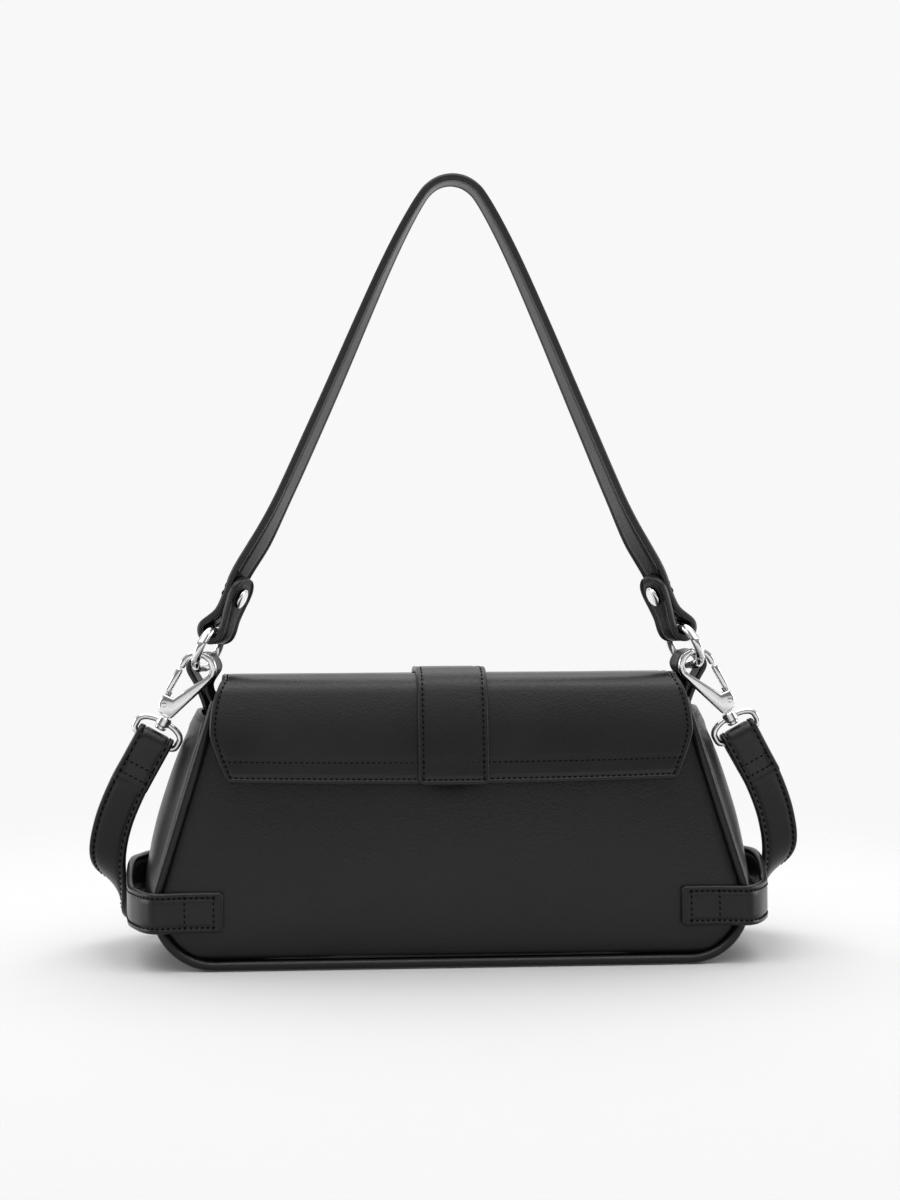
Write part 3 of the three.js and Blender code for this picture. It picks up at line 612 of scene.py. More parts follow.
def makePiping():
    spots = outline(piping["inset"], bag["panelTop"] - piping["topGap"])
    course = [Vector((-p.x, 0, p.z)) for p, out, swell in reversed(spots)]
    course += [Vector((x, 0, piping["inset"])) for x in piping["baseRun"]]
    course += [p for p, out, swell in spots]
    sunk = bag["piping"] / 2
    for name, side in bothFaces:
        path = [Vector((p.x, side * (halfDepth(p.z) - sunk + piping["proud"]), p.z)) for p in course]

        def size(i):
            return piping["size"] + softWave(path[i].x, side, path[i].z, piping["waveSize"], piping["wave"])

        piece = sweptWire(name + "Piping", path, size, leather, Vector((0, 1, 0)), 16)
        settle(piece, "bag", "leather", name + "_piping")


gusset = {"wall": 1.6, "bulge": 9, "top": 114, "hem": 9, "hemLift": 0.7, "hemCrease": 0.6, "sunk": 0.15,
          "wave": 0.7, "waveSize": 34, "calmFoot": 20, "seam": 2.6, "seamSunk": 0.1, "swell": 0.3}


def makeGussets():
    for word, side in bothSides:
        grid = []
        for p, out, swell in outline(0, gusset["top"]):
            direction = Vector((side * out.x, 0, out.z))
            centre = Vector((side * p.x, 0, p.z))
            reach = halfDepth(p.z) - bag["piping"] - bag["gap"] + bag["tuck"]
            fold = 0.5 + 0.5 * tanh((p.z - (gusset["top"] - gusset["hem"])) / gusset["hemCrease"])
            row = []
            for y in spread(-reach, reach, 28):
                wave = softWave(p.x, y, p.z, gusset["waveSize"], gusset["wave"])
                wave *= min(1, p.z / gusset["calmFoot"])
                belly = (gusset["bulge"] * swell + wave) * (1 - (y / reach) ** 2)
                spot = centre + Vector((0, y, 0))
                lift = belly - gusset["sunk"] + gusset["hemLift"] * fold
                row.append((spot + direction * lift, spot + direction * (belly - gusset["wall"])))
            grid.append(row)
        piece = slab(word + "Gusset", grid, hide, gusset["swell"])
        settle(piece, "bag", "leather", "gusset_" + word)
        p, out, swell = outline(0, gusset["top"] - gusset["seam"])[-1]
        direction = Vector((side * out.x, 0, out.z))
        reach = halfDepth(p.z) - bag["piping"] - bag["gap"]
        row = []
        for y in spread(-reach, reach, 28)[1:-1]:
            lift = gusset["bulge"] * swell * (1 - (y / reach) ** 2) + gusset["hemLift"] - gusset["seamSunk"]
            row.append(Vector((side * p.x, y, p.z)) + direction * lift)
        sew("bag", row, [direction] * len(row))


base = {"low": 0.25, "wall": 1.5, "swell": 0.1}


def makeBase():
    edge = cornerX - bag["gap"]
    reach = halfDepth(0) - bag["piping"] - bag["gap"] + bag["tuck"]
    grid = [[(Vector((x, y, base["low"])), Vector((x, y, base["low"] + base["wall"])))
             for y in spread(-reach, reach, 24)] for x in spread(-edge, edge, 40)]
    settle(slab("baseFace", grid, hide, base["swell"]), "bag", "leather", "base_panel")


inside = {"inset": 8.7, "floor": 4.9, "top": 120, "wall": 0.8, "depthIn": 2.4, "footClear": 0.4,
          "levelPower": 1.3, "square": 0.28, "pucker": 0.5, "puckerSize": 17, "drawIn": 0.6, "wide": 150}


def makeLining():
    rise = inside["top"] - inside["floor"]
    heights = [inside["floor"] + rise * share ** inside["levelPower"] for share in spread(0, 1, 30)]

    def ringAt(z, inset, level):
        wide = panelEdge(max(z, inside["inset"] + inside["footClear"]), inside["inset"]) - inset
        deep = halfDepth(z) - inside["depthIn"] - inset
        points = []
        for turn in spread(0, 2 * pi, 96)[:-1]:
            c, s = cos(turn), sin(turn)
            x = wide * copysign(abs(c) ** inside["square"], c)
            y = deep * copysign(abs(s) ** inside["square"], s)
            pull = softWave(x, y, z, inside["puckerSize"], inside["pucker"])
            pull -= inside["pucker"] * inside["drawIn"]
            points.append(Vector((x * (1 + pull / inside["wide"]), y * (1 + pull / max(deep, 1)), level)))
        return points

    floor = inside["floor"] + inside["wall"]
    rings = [ringAt(z, 0, z) for z in heights]
    rings += [ringAt(z, inside["wall"], max(z, floor)) for z in reversed(heights)]
    settle(tube("liningBag", rings, liningCloth, "sheet"), "bag", "lining", "lining")


pocket = {"half": 67, "foot": 34, "head": 90, "slack": 0.9, "off": 1.5, "wall": 0.6, "swell": 0.2}


def makePocket():
    half, grid = pocket["half"], []
    for share in spread(0, 1, 14):
        z = pocket["foot"] + (pocket["head"] - pocket["foot"]) * share
        back = halfDepth(z) - inside["depthIn"] - inside["wall"] - pocket["off"]
        slack = pocket["slack"] * share
        row = [Vector((x, back - slack * (1 - (x / half) ** 2), z)) for x in spread(-half, half, 24)]
        grid.append([(p, p + Vector((0, pocket["wall"], 0))) for p in row])
    settle(slab("slipPocket", grid, [liningCloth], pocket["swell"]), "bag", "lining", "slip_pocket")


makePanels()
makePiping()
makeGussets()
makeBase()
makeLining()
makePocket()
print("shell ready")

# flap and tab: one course from the back, over the top and down the front, cut in two at the top

flap = {"off": 1.3, "wall": 2.4, "topHalf": 105, "midHalf": 110.5, "lowHalf": 102.5, "shoulder": 107,
        "low": 86, "root": 96, "corner": 2, "stand": 4.8, "seam": 2.4, "second": 8.8, "inner": 60,
        "wave": 0.35, "roll": 9.5, "tilt": 24.6, "belly": 1.4, "bellyLow": 0.6, "bellyHigh": 0.8,
        "fall": 2.3, "shoulderPower": 0.7, "lowPower": 1.2, "sag": 1.8, "sagReach": 34, "sagHalf": 110,
        "rootClear": 7, "headClear": 1, "fallClear": 6, "swell": 0.4}
tab = {"off": 4.0, "wall": 2.6, "half": 16, "corner": 2.2, "seam": 2.2, "second": 8.6, "inner": 14,
       "wave": 0.35}
flapLining = {"off": 0.3, "wall": 0.7, "inset": 2.4, "corner": 0, "seam": noSeam, "inner": 40, "wave": 0.1}
drapeWave = {"size": 48, "fineSize": 15, "fineShare": 0.25, "onTop": 0.5, "onUnder": 0.3, "sinkUnder": 0.4}
crossSeam = {"deep": 0.2, "width": 0.8, "sink": 0.3}
bendY = halfDepth(bag["panelTop"]) - bag["bend"]
# where each fold starts and ends, in metres
backBlend = ("bag", "flap_top", (0, 0.0245, 0.110), (0, 0.0205, 0.1315))
frontBlend = ("flap_top", "flap_front", (0, -0.0060, 0.1335), (0, -0.0245, 0.1225))


def standOff(z):
    return flap["stand"] * max(0, bag["panelTop"] - z) / (bag["panelTop"] - flap["low"])


def topFall(y):  # the top of the flap drops a little from the front roll to the back
    return flap["fall"] * ease(clamp((y + bendY) / (2 * bendY)))


def topRun(off, places):
    return [(Vector((0, y, bag["height"] + off - topFall(y))), Vector((0, 0, 1)), noEnd) for y in places]


def backCourse(off, low):  # each place has its direction out and its distance from the cut edge
    head = bag["panelTop"] - flap["fall"]
    places = [low + d for d in nearEdge] + spread(low + flap["rootClear"], head - flap["headClear"], 8)
    course = [(Vector((0, halfDepth(z) + off, z)), Vector((0, 1, 0)), z - low) for z in places]
    for turn in spread(0, pi / 2, 12):
        out = Vector((0, cos(turn), sin(turn)))
        course.append((Vector((0, bendY, head)) + out * (bag["bend"] + off), out, noEnd))
    return course + topRun(off, spread(bendY, 0, 6)[1:])


def frontCourse(off, low):
    roll = flap["roll"]
    centre = Vector((0, roll - halfDepth(bag["panelTop"]), bag["height"] - roll))
    course = topRun(off, spread(0, centre.y, 6)[:-1])
    for share in spread(0, 1, 18):
        turn = radians(90 - (90 - flap["tilt"]) * share)
        out = Vector((0, -cos(turn), sin(turn)))
        spot = centre + out * (roll + off)
        spot.z -= topFall(centre.y) * (1 - share)
        course.append((spot, out, noEnd))
    start = course[-1][0]
    end = Vector((0, -halfDepth(low) - off - standOff(low), low))
    places = [share for share in spread(1, 0, 21)[1:-1] if share * (start.z - low) > flap["fallClear"]]
    places += [d / (start.z - low) for d in reversed(nearEdge)]
    for share in places:  # share of the way up from the cut edge to the roll
        spot = end.lerp(start, share)
        spot.y -= flap["belly"] * sin(pi * share) * (flap["bellyLow"] + flap["bellyHigh"] * share)
        turn = radians(flap["tilt"] * share)
        course.append((spot, Vector((0, -cos(turn), sin(turn))), spot.z - low))
    return course


def flapHalf(z):  # half width down the front
    share = max(0, bag["height"] - z) / (bag["height"] - flap["shoulder"])
    if share <= 1:
        widen = sin(pi / 2 * share ** flap["shoulderPower"])
        return flap["topHalf"] + (flap["midHalf"] - flap["topHalf"]) * widen
    low = (flap["shoulder"] - z) / (flap["shoulder"] - flap["low"])
    return flap["midHalf"] - (flap["midHalf"] - flap["lowHalf"]) * low ** flap["lowPower"]


def sagAt(u, end):  # the free edge hangs lower in its middle
    return flap["sag"] * max(0, 1 - end / flap["sagReach"]) * (1 - (u / flap["sagHalf"]) ** 2)


def drape(name, course, halfAt, shape, second, materials, opens):
    grid = []
    for p, out, end in course:
        half = roundIn(halfAt(p.z), end, shape["corner"])
        row = []
        for u in across(half, shape["inner"]):
            sink = edgeShape(min(half - abs(u), end), shape["seam"])
            if second:
                sink -= crossSeam["deep"] * hump(end, second, crossSeam["width"])
            ripple = softWave(u, p.y, p.z, drapeWave["size"], shape["wave"])
            ripple += softWave(u, p.y, p.z, drapeWave["fineSize"], shape["wave"] * drapeWave["fineShare"])
            spot = Vector((u, p.y, p.z)) - Vector((0, 0, sagAt(u, end)))
            row.append((spot + out * (shape["wall"] + sink + ripple * drapeWave["onTop"]),
                        spot + out * (ripple * drapeWave["onUnder"] - sink * drapeWave["sinkUnder"])))
        grid.append(row)
    return slab(name, grid, materials, flap["swell"], *opens)


def seamOn(group, course, halfAt, shape, second):  # down both sides, then across the cut end
    def spot(index, u):
        p, out, end = course[index]
        return Vector((u, p.y, p.z - sagAt(u, end))) + out * (shape["wall"] - crossSeam["sink"]), out

    def rowAt(distance):
        index = min(range(len(course)), key=lambda i: abs(course[i][2] - distance))
        half = roundIn(halfAt(course[index][0].z), course[index][2], shape["corner"]) - shape["seam"]
        return [spot(index, u) for u in spread(-half, half, 60)]

    keep = [i for i, place in enumerate(course) if place[2] >= shape["seam"]]
    lines = [[spot(i, s * (halfAt(course[i][0].z) - shape["seam"])) for i in keep] for s in (-1, 1)]
    lines += [rowAt(distance) for distance in (shape["seam"], second) if distance]
    for line in lines:
        sew(group, [p for p, out in line], [out for p, out in line])


def makeFlap():
    def tabHalf(z):
        return tab["half"]

    def liningHalf(z):
        return flapHalf(z) - flapLining["inset"]

    for word, shape, backHalf, frontHalf in (("flap", flap, lambda z: flap["topHalf"], flapHalf),
                                             ("tab", tab, tabHalf, tabHalf)):
        back, front = backCourse(shape["off"], flap["root"]), frontCourse(shape["off"], flap["low"])
        piece = drape(word + "Back", back, backHalf, shape, 0, hide, (False, True))
        settle(piece, None, "leather", word + "_root", word + "_top", blend=backBlend)
        piece = drape(word + "Fall", front, frontHalf, shape, shape["second"], hide, (True, False))
        settle(piece, None, "leather", word + "_front", blend=frontBlend)
        seamOn("flapBack", back, backHalf, shape, 0)
        seamOn("flapFall", front, frontHalf, shape, shape["second"])
    back = [place for place in backCourse(flapLining["off"], flap["root"]) if place[2] == noEnd]
    piece = drape("flapTopLining", back, liningHalf, flapLining, 0, [liningCloth], (False, True))
    settle(piece, "flap_top", "lining", "flap_top_lining")
    front = frontCourse(flapLining["off"], flap["low"] + flapLining["inset"])
    piece = drape("flapFallLining", front, liningHalf, flapLining, 0, [liningCloth], (True, False))
    settle(piece, None, "lining", "flap_front_lining", blend=frontBlend)


snap = {"radius": 7, "wall": 0.8, "nub": 0.9, "hole": 0.3}


def makeSnap():
    outward = Vector((0, -1, faceTilt)).normalized()
    half, r, hole = snap["wall"] / 2, snap["radius"], snap["hole"]
    tip = half + snap["nub"]
    # profiles in shares of the radius and of half the wall
    rim = [(hole, -half), (r, -half), (r, 0), (r * 0.96, half * 0.7), (r * 0.87, half)]
    cup = rim + [(r * 0.62, half), (r * 0.57, half * 0.2), (r * 0.3, 0), (hole, 0)]
    stud = rim + [(r * 0.52, half), (r * 0.5, half + snap["nub"] * 0.8), (r * 0.42, tip), (hole, tip)]
    for name, solid, body, profile, axis in (("snapSocket", "snap_socket", "bag", cup, outward),
                                             ("snapStud", "snap_stud", "flap_front", stud, -outward)):
        settle(turned(name, profile, middleOf(solid), axis, 48), body, "chrome", solid)


makeFlap()
makeSnap()
print("flap ready")

# side keepers and ring loops

# the course has each place's x, its share of the depth and what is added to that
keeper = {"width": 18, "wall": 3, "height": 27, "rise": 8, "tip": 1, "inner": 8, "seam": 6.7, "sewIn": 4,
          "crossRows": (3.2, 17),
          "course": ((105, 1, 0), (122, 1, 0), (136.5, 1, 1), (144.8, 0.68, 0), (148, 0.25, 0))}


def makeKeepers():
    depth = halfDepth(keeper["height"]) + bag["gap"] + keeper["wall"] / 2
    half = [(x, depth * share + more) for x, share, more in keeper["course"]]
    for word, side in bothSides:
        front = [Vector((side * x, -y, keeper["height"])) for x, y in half]
        back = [Vector((side * x, y, keeper["height"] + keeper["rise"])) for x, y in half]
        for p in back[:2]:
            p.y -= faceTilt * keeper["rise"]
        path = curveThrough(front + back[::-1], 150)

        def upright(i):
            return Vector((0, -faceTilt * clamp(path[i].y / depth, -1), 1))

        piece = ribbon(word + "Keeper", path, upright, lambda i: keeper["width"], keeper["wall"],
                       keeper["tip"], keeper["inner"])
        settle(piece, "bag", "leather", "keeper_" + word)
        spots = frames(path, upright)
        sign = 1 if spots[0][3].y < 0 else -1
        first, last = keeper["sewIn"], len(path) - keeper["sewIn"]
        sewRibbon("bag", path, upright, keeper["seam"], keeper["wall"], first, last, sign)
        for place in keeper["crossRows"]:
            for order in (1, -1):
                spot = spots[::order][indexAt(path[::order], place)]
                sewAcross("bag", spot, keeper["seam"], keeper["wall"], sign)


loop = {"width": 9, "wall": 2.4, "half": 7.2, "centre": 113.5, "top": 141.6, "foot": 105, "seat": -2.2,
        "y": 3, "twist": 18, "pinch": 2, "neck": 8, "knee": 8, "kneeIn": 4.2, "footOut": 2.1, "footIn": 1.9,
        "inner": 4}


def makeRingLoops():
    centre, foot = loop["centre"], loop["foot"]
    half = loop["half"] - loop["wall"] / 2
    low = loop["top"] - loop["wall"] / 2 - half
    seat, knee, neck = centre + loop["seat"], foot + loop["knee"], low - loop["neck"]
    arch = [(centre + half * cos(turn), low + half * sin(turn)) for turn in spread(0, pi, 8)]
    outer = [(seat + loop["footOut"], foot), (seat, knee), (centre + loop["pinch"], neck)]
    inner = [(centre - loop["pinch"], neck), (seat - loop["kneeIn"], knee), (seat - loop["footIn"], foot)]
    for word, side in bothSides:
        path = curveThrough([Vector((side * x, loop["y"], z)) for x, z in outer + arch + inner], 110)
        aside = Vector((-side * tan(radians(loop["twist"])), 1, 0))
        piece = ribbon(word + "RingLoop", path, lambda i: aside, lambda i: loop["width"], loop["wall"], 0,
                       loop["inner"], noSeam)
        settle(piece, "bag", "leather", "ring_loop_" + word)


makeKeepers()
makeRingLoops()
print("keepers and loops ready")

# gate rings

ring = {"wire": 4.2, "radius": 9.6, "straight": 3, "lean": 23.5, "twist": 20, "x": 111.3, "z": 143.5,
        "from": 158, "to": 215, "hingeGap": 6, "inset": 10, "noseGap": 0.35, "noseRun": 14, "slant": 24,
        "tongue": 1.3, "rootBack": 4, "slotFrom": 0.3, "slotRoom": 0.16, "slotHigh": 2, "lugTo": 0.35,
        "lugHigh": 0.62}


def ringFrame(side):
    tilt, twist = radians(ring["lean"]), radians(ring["twist"])
    up = Vector((-side * sin(tilt), 0, cos(tilt)))
    outward = Vector((side * cos(tilt), 0, sin(tilt)))
    deep = Vector((0, cos(twist), 0)) - outward * sin(twist)
    normal = outward * cos(twist) + Vector((0, sin(twist), 0))
    centre = Vector((side * ring["x"], 0, ring["z"]))

    def at(degrees):
        c, s = cos(radians(degrees)), sin(radians(degrees))
        aside = copysign(ring["straight"], c) + ring["radius"] * c
        return centre + deep * aside + up * ring["radius"] * s
    return up, deep, normal, at


def blockAlong(name, start, end, high, deep, normal):
    along = (end - start).normalized()
    rise = normal.cross(along) * high / 2
    push = normal * deep / 2
    points = [p + rise * a + push * b for p in (start, end) for a, b in ((-1, -1), (1, -1), (1, 1), (-1, 1))]
    faces = [(0, 1, 2, 3), (7, 6, 5, 4), (0, 4, 5, 1), (1, 5, 6, 2), (2, 6, 7, 3), (3, 7, 4, 0)]
    return newPiece(name, points, faces, [chrome])


def makeRings():
    def size(i):
        return ring["wire"]

    slant = radians(ring["slant"])
    foot = ring["to"] + ring["hingeGap"]
    gateFrom = ring["from"] + ring["noseRun"]
    ringTo = 360 + ring["from"] - ring["noseRun"]
    for word, side in bothSides:
        up, deep, normal, at = ringFrame(side)
        face = up * cos(slant) - deep * sin(slant)
        nose = at(ring["from"])
        root = at(ring["to"] - ring["rootBack"])
        pin, back = at(foot + ring["inset"]), at(foot + 2 * ring["inset"])
        course = [at(turn) for turn in spread(foot, ringTo, 60)] + [nose]
        piece = sweptWire(word + "GateRing", course, size, chrome, normal, 18,
                          endCut=(nose + face * ring["noseGap"], face))
        slot = blockAlong("cutter", at(foot).lerp(root, ring["slotFrom"]), back,
                          ring["wire"] * ring["slotHigh"], ring["tongue"] + ring["slotRoom"], normal)
        combine(piece, slot, "DIFFERENCE")
        settle(piece, "handle", "chrome", "gate_ring_" + word)
        course = [nose] + [at(turn) for turn in spread(gateFrom, ring["to"], 12)]
        gate = sweptWire(word + "RingGate", course, size, chrome, normal, 18, startCut=(nose, face))
        lug = blockAlong("lug", root, pin.lerp(back, ring["lugTo"]), ring["wire"] * ring["lugHigh"],
                         ring["tongue"], normal)
        combine(gate, lug, "UNION")
        settle(gate, word + "_ring_gate", "chrome", "ring_gate_" + word)


makeRings()
print("rings ready")

# handle: a strap folded round both rings, with a rivet through each end

handle = {"width": 17, "endWidth": 12, "wall": 3.2, "top": 361, "shoulder": 95, "shoulderZ": 176, "round": 15,
          "legShares": (0.12, 0.4, 0.7), "bow": 1.4, "bowHaste": 1.5, "swell": 2.2, "swellFrom": 0.2,
          "swellRun": 0.77, "tip": 28, "tipRound": 7.6, "foldRoom": 1.25, "nip": 9, "nipIn": 0.4,
          "nipOut": 0.6, "tongue": 34, "tongueWidth": 16, "narrowFrom": 10, "narrowRun": 12, "widenBelow": 10,
          "widenRun": 26, "rivetAlong": 18, "rivet": 9.6, "rivetStem": 1.5, "turn": 14, "turnFrom": 215,
          "leftTurn": 6, "lean": 0.1, "seam": 5.9, "sewFrom": 62, "sewTo": 74, "inner": 6, "rivetGaps": 1.5}
halfTurn = spread(0, pi, 6)  # angles round a fold
rivetCap = ((1, 0), (1, 0.35), (0.93, 0.75), (0.72, 1.05), (0.4, 1.2))  # share of the radius, height
rivetTip = (0.3, 1.25)


def handleEnd(side):
    up, deep, normal, at = ringFrame(side)
    bar = Vector((side * ring["x"], 0, ring["z"])) + up * ring["radius"]
    fold = ring["wire"] / 2 + handle["foldRoom"] + handle["wall"] / 2
    layer = handle["wall"] + bag["gap"]
    tip, rivet, nip = handle["tip"], handle["rivetAlong"], handle["nip"]

    def spot(s, n):
        return bar + up * s - normal * n

    path = [spot(tip, layer), spot(rivet, layer), spot(nip, layer + handle["nipIn"])]
    path += [spot(-fold * sin(turn), fold * cos(turn)) for turn in halfTurn]
    path += [spot(nip, -handle["nipOut"]), spot(rivet, 0), spot(tip, 0)]
    return path, spot(rivet, layer / 2), -normal


def handleArch():
    foot, bend = Vector((handle["shoulder"], 0, handle["shoulderZ"])), handle["round"]
    rise = handle["top"] - handle["wall"] / 2 - bend
    run = hypot(handle["shoulder"], rise - handle["shoulderZ"])
    heading = atan2(rise - handle["shoulderZ"], -handle["shoulder"]) - asin(bend / run)
    start = heading - pi / 2
    leg = sqrt(run ** 2 - bend ** 2)
    along = Vector((cos(heading), 0, sin(heading)))
    right = [foot + along * leg * share for share in handle["legShares"]]
    turns = spread(start, pi - start, 6)
    arc = [Vector((bend * cos(turn), 0, rise + bend * sin(turn))) for turn in turns]
    return right + arc + [Vector((-p.x, 0, p.z)) for p in reversed(right)]


def makeHandle():
    ends = {word: handleEnd(side) for word, side in bothSides}
    path = curveThrough(ends["right"][0] + handleArch() + ends["left"][0][::-1], 420)
    for p in path:  # the arch hangs a little to one side, and its legs bow outward
        share = clamp((p.z - handle["shoulderZ"]) / (handle["top"] - handle["shoulderZ"]))
        p.x += handle["bow"] * sin(pi / 2 * min(1, share * handle["bowHaste"]))
        high = clamp((share - handle["swellFrom"]) / handle["swellRun"])
        p.x += copysign(handle["swell"] * sin(pi * high * high), p.x)
    far = distances(path)

    def width(i):
        end = min(far[i], far[-1] - far[i])
        if end < handle["tongue"]:  # the tongue is wider than the fold that passes through the ring
            share = clamp((end - handle["narrowFrom"]) / handle["narrowRun"])
            return handle["tongueWidth"] + (handle["endWidth"] - handle["tongueWidth"]) * share
        share = clamp((path[i].z - handle["shoulderZ"] + handle["widenBelow"]) / handle["widenRun"])
        return handle["endWidth"] + (handle["width"] - handle["endWidth"]) * share

    def level(i):
        swing = clamp(path[i].x / handle["shoulder"], -1)
        near = clamp((handle["turnFrom"] - path[i].z) / (handle["turnFrom"] - handle["shoulderZ"]))
        turn = ring["twist"] * abs(swing) + handle["turn"] * ease(near)
        if swing < 0:
            turn += handle["leftTurn"] * sin(pi * min(1, -swing))
        return Vector((-copysign(tan(radians(turn)), swing), 1, -handle["lean"]))

    piece = ribbon("handleStrap", path, level, width, handle["wall"], handle["tipRound"], handle["inner"])
    settle(piece, "handle", "leather", "handle_strap")
    first, last = indexAt(path, handle["sewFrom"]), indexAt(path, handle["sewTo"])
    for sign in (1, -1):  # only the ends are sewn, just past the tongues
        for low, high in ((first, last), (len(path) - last, len(path) - first)):
            sewRibbon("handle", path, level, handle["seam"], handle["wall"], low, high, sign)
    reach = handle["wall"] + bag["gap"] * handle["rivetGaps"]
    cap = [(handle["rivet"] / 2 * share, h) for share, h in rivetCap] + [rivetTip]
    profile = [(r, -reach - h) for r, h in reversed(cap)] + [(rivetTip[0], -reach)]
    profile += [(handle["rivetStem"], h) for h in (-reach, reach)] + [(r, reach + h) for r, h in cap]
    for word, side in bothSides:
        piece = turned(word + "Rivet", profile, ends[word][1], ends[word][2])
        settle(piece, "handle", "chrome", "handle_rivet_" + word)


makeHandle()
print("handle ready")

# swivel hooks and their bails

hook = {"x": 128.8, "z": 116.6, "y": -4.1, "turn": 28.9, "thick": 3, "wire": 3.2, "outer": 8.8,
        "length": 21.6, "offset": 2.3, "block": 4.6, "hinge": 3.6, "knuckle": 1.8, "nose": 3, "stem": 3.2,
        "bevel": 1.2, "bevelAbove": 50, "heel": 4.2, "toe": 2.5, "crotch": 1.3, "cheek": 1.6, "slot": 1.46,
        "slotFloor": 1.2, "room": 1, "lugIn": 0.5, "lugUp": 2}
pinHalf = ((0.98, 1.4), (1.25, 1.45), (1.25, 1.6), (0.9, 1.75), (0.2, 1.75))  # radius, height from the middle
studEnd = ((0, 0.3), (1.3, 0.3), (1.3, 1.2), (0.8, 1.75))  # past the stem's radius, below the collar
studTip = (0.2, 1.8)
bail = {"half": 10.8, "wire": 3, "top": 7.2, "bottom": 17.2, "square": 0.4, "round": 0.9, "spacing": 0.9,
        "lastGap": 0.5, "play": 0.08, "collar": 1.7, "collarTop": 0.4, "collarFoot": 0.5, "collarDrop": 0.6}


def hookFrame(side):
    turn = radians(hook["turn"])
    up = Vector((-side * sin(turn), 0, cos(turn)))
    inward = Vector((-side * cos(turn), 0, -sin(turn)))
    centre = Vector((side * hook["x"], hook["y"], hook["z"]))
    return up, inward, lambda a, b, y=0: centre + up * a + inward * b + Vector((0, y, 0))


def plate(name, at, shape, thick, bevel):  # a flat shape of (across, along) points, with round edges
    points = [at(a, b, y) for y in (-thick / 2, thick / 2) for b, a in shape]
    count = len(shape)
    faces = [tuple(range(count)), tuple(range(2 * count - 1, count - 1, -1))]
    faces += [(k, (k + 1) % count, count + (k + 1) % count, count + k) for k in range(count)]
    piece = newPiece(name, points, faces, [chrome])
    if bevel:
        finishWith(piece, "BEVEL", width=bevel * millimetre, segments=3, limit_method="ANGLE",
                   angle_limit=radians(hook["bevelAbove"]), harden_normals=False)
    return piece


def hookShape():
    inner = hook["outer"] - hook["wire"]
    foot = hook["length"] - hook["nose"]
    cheek = -hook["block"] - hook["cheek"]

    def arc(r, start, end):
        return [(hook["offset"] + r * cos(turn), hook["length"] + r * sin(turn))
                for turn in spread(start, end, 24)]

    shape = [(cheek, 0), (-hook["heel"], -hook["block"]), (hook["toe"], -hook["block"])]
    shape += arc(hook["outer"], 0, pi) + [(hook["offset"] - r, foot) for r in (hook["outer"], inner)]
    return shape + arc(inner, pi, 0) + [(-hook["crotch"], hook["block"]), (cheek, hook["block"])]


def rectangle(b0, b1, a0, a1):
    return [(b0, a0), (b1, a0), (b1, a1), (b0, a1)]


def makeHookBody(word, at):  # with its gate and the gate's pin
    room, block, knuckle = hook["room"], hook["block"], hook["knuckle"]
    gateOut = hook["offset"] - hook["outer"]
    gateIn = gateOut + hook["wire"]
    piece = plate(word + "HookBody", at, hookShape(), hook["thick"], hook["bevel"])
    slot = rectangle(gateOut - room, -room, -block + hook["slotFloor"], block + room)
    combine(piece, plate("cutter", at, slot, hook["slot"], 0), "DIFFERENCE")
    settle(piece, word + "_hook", "chrome", "hook_body_" + word)
    bar = rectangle(gateOut, gateIn, block + room, hook["length"] - hook["nose"] - bag["gap"])
    gate = plate(word + "HookGate", at, bar, hook["thick"], hook["bevel"])
    eye, lugIn, lugTop = knuckle - hook["hinge"], gateIn + hook["lugIn"], block + hook["lugUp"]
    lug = [(gateOut + room, -knuckle), (eye, -knuckle), (eye, knuckle), (lugIn, knuckle), (lugIn, lugTop),
           (gateOut + room, lugTop)]
    combine(gate, plate("lug", at, lug, ring["tongue"], 0), "UNION")
    settle(gate, word + "_hook_gate", "chrome", "hook_gate_" + word)
    profile = [(r, -h) for r, h in reversed(pinHalf)] + list(pinHalf)
    pin = turned(word + "HookPin", profile, at(0, -hook["hinge"]), Vector((0, 1, 0)), 24)
    settle(pin, word + "_hook", "chrome", "hook_pin_" + word)


def bailCourse(at):  # a bow, round at the top and square below, in even steps
    middle, high = -(bail["top"] + bail["bottom"]) / 2, (bail["bottom"] - bail["top"]) / 2
    bow = []
    for turn in spread(0, 2 * pi, 72)[:-1]:
        power = bail["square"] if sin(turn) < 0 else bail["round"]
        a, b = [copysign(abs(v) ** power, v) for v in (sin(turn), cos(turn))]
        bow.append(at(middle + high * a, bail["half"] * b))
    even = curveThrough(bow + [bow[0]], 400)
    course = [even[0]]
    for p in even:
        if (p - course[-1]).length > bail["spacing"] and (p - even[0]).length > bail["lastGap"]:
            course.append(p)
    return course


def makeSwivel(word, up, at):  # the stud in the hook's foot, and the bail that turns on it
    low = -bail["top"] - bail["wire"] / 2 - bail["collarDrop"]
    stem = hook["stem"] / 2
    head = -hook["block"] - bag["gap"] / 2
    profile = [(studTip[0], head), (stem, head)] + [(stem + r, low - h) for r, h in studEnd]
    profile.append((studTip[0], low - studTip[1]))
    stud = turned(word + "SwivelStud", profile, at(0, 0), up, 28)
    settle(stud, word + "_hook", "chrome", "swivel_stud_" + word)
    piece = sweptWire(word + "Bail", bailCourse(at), lambda i: bail["wire"], chrome, Vector((0, 1, 0)), 14,
                      closed=True)
    top, hole, wide = -hook["block"] - bag["gap"], stem + bail["play"], stem + bail["collar"]
    upper, lower = bail["collarTop"], bail["collarFoot"]
    collar = [(hole, top), (wide - upper, top), (wide, top - upper), (wide, low + lower), (wide - lower, low),
              (hole, low)]
    combine(piece, turned("collar", collar, at(0, 0), up, 28), "UNION")
    bore = [(hole, top + hook["room"]), (hole, low - hook["room"])]
    combine(piece, turned("cutter", bore, at(0, 0), up, 28), "DIFFERENCE")
    settle(piece, "bag", "chrome", "bail_" + word)


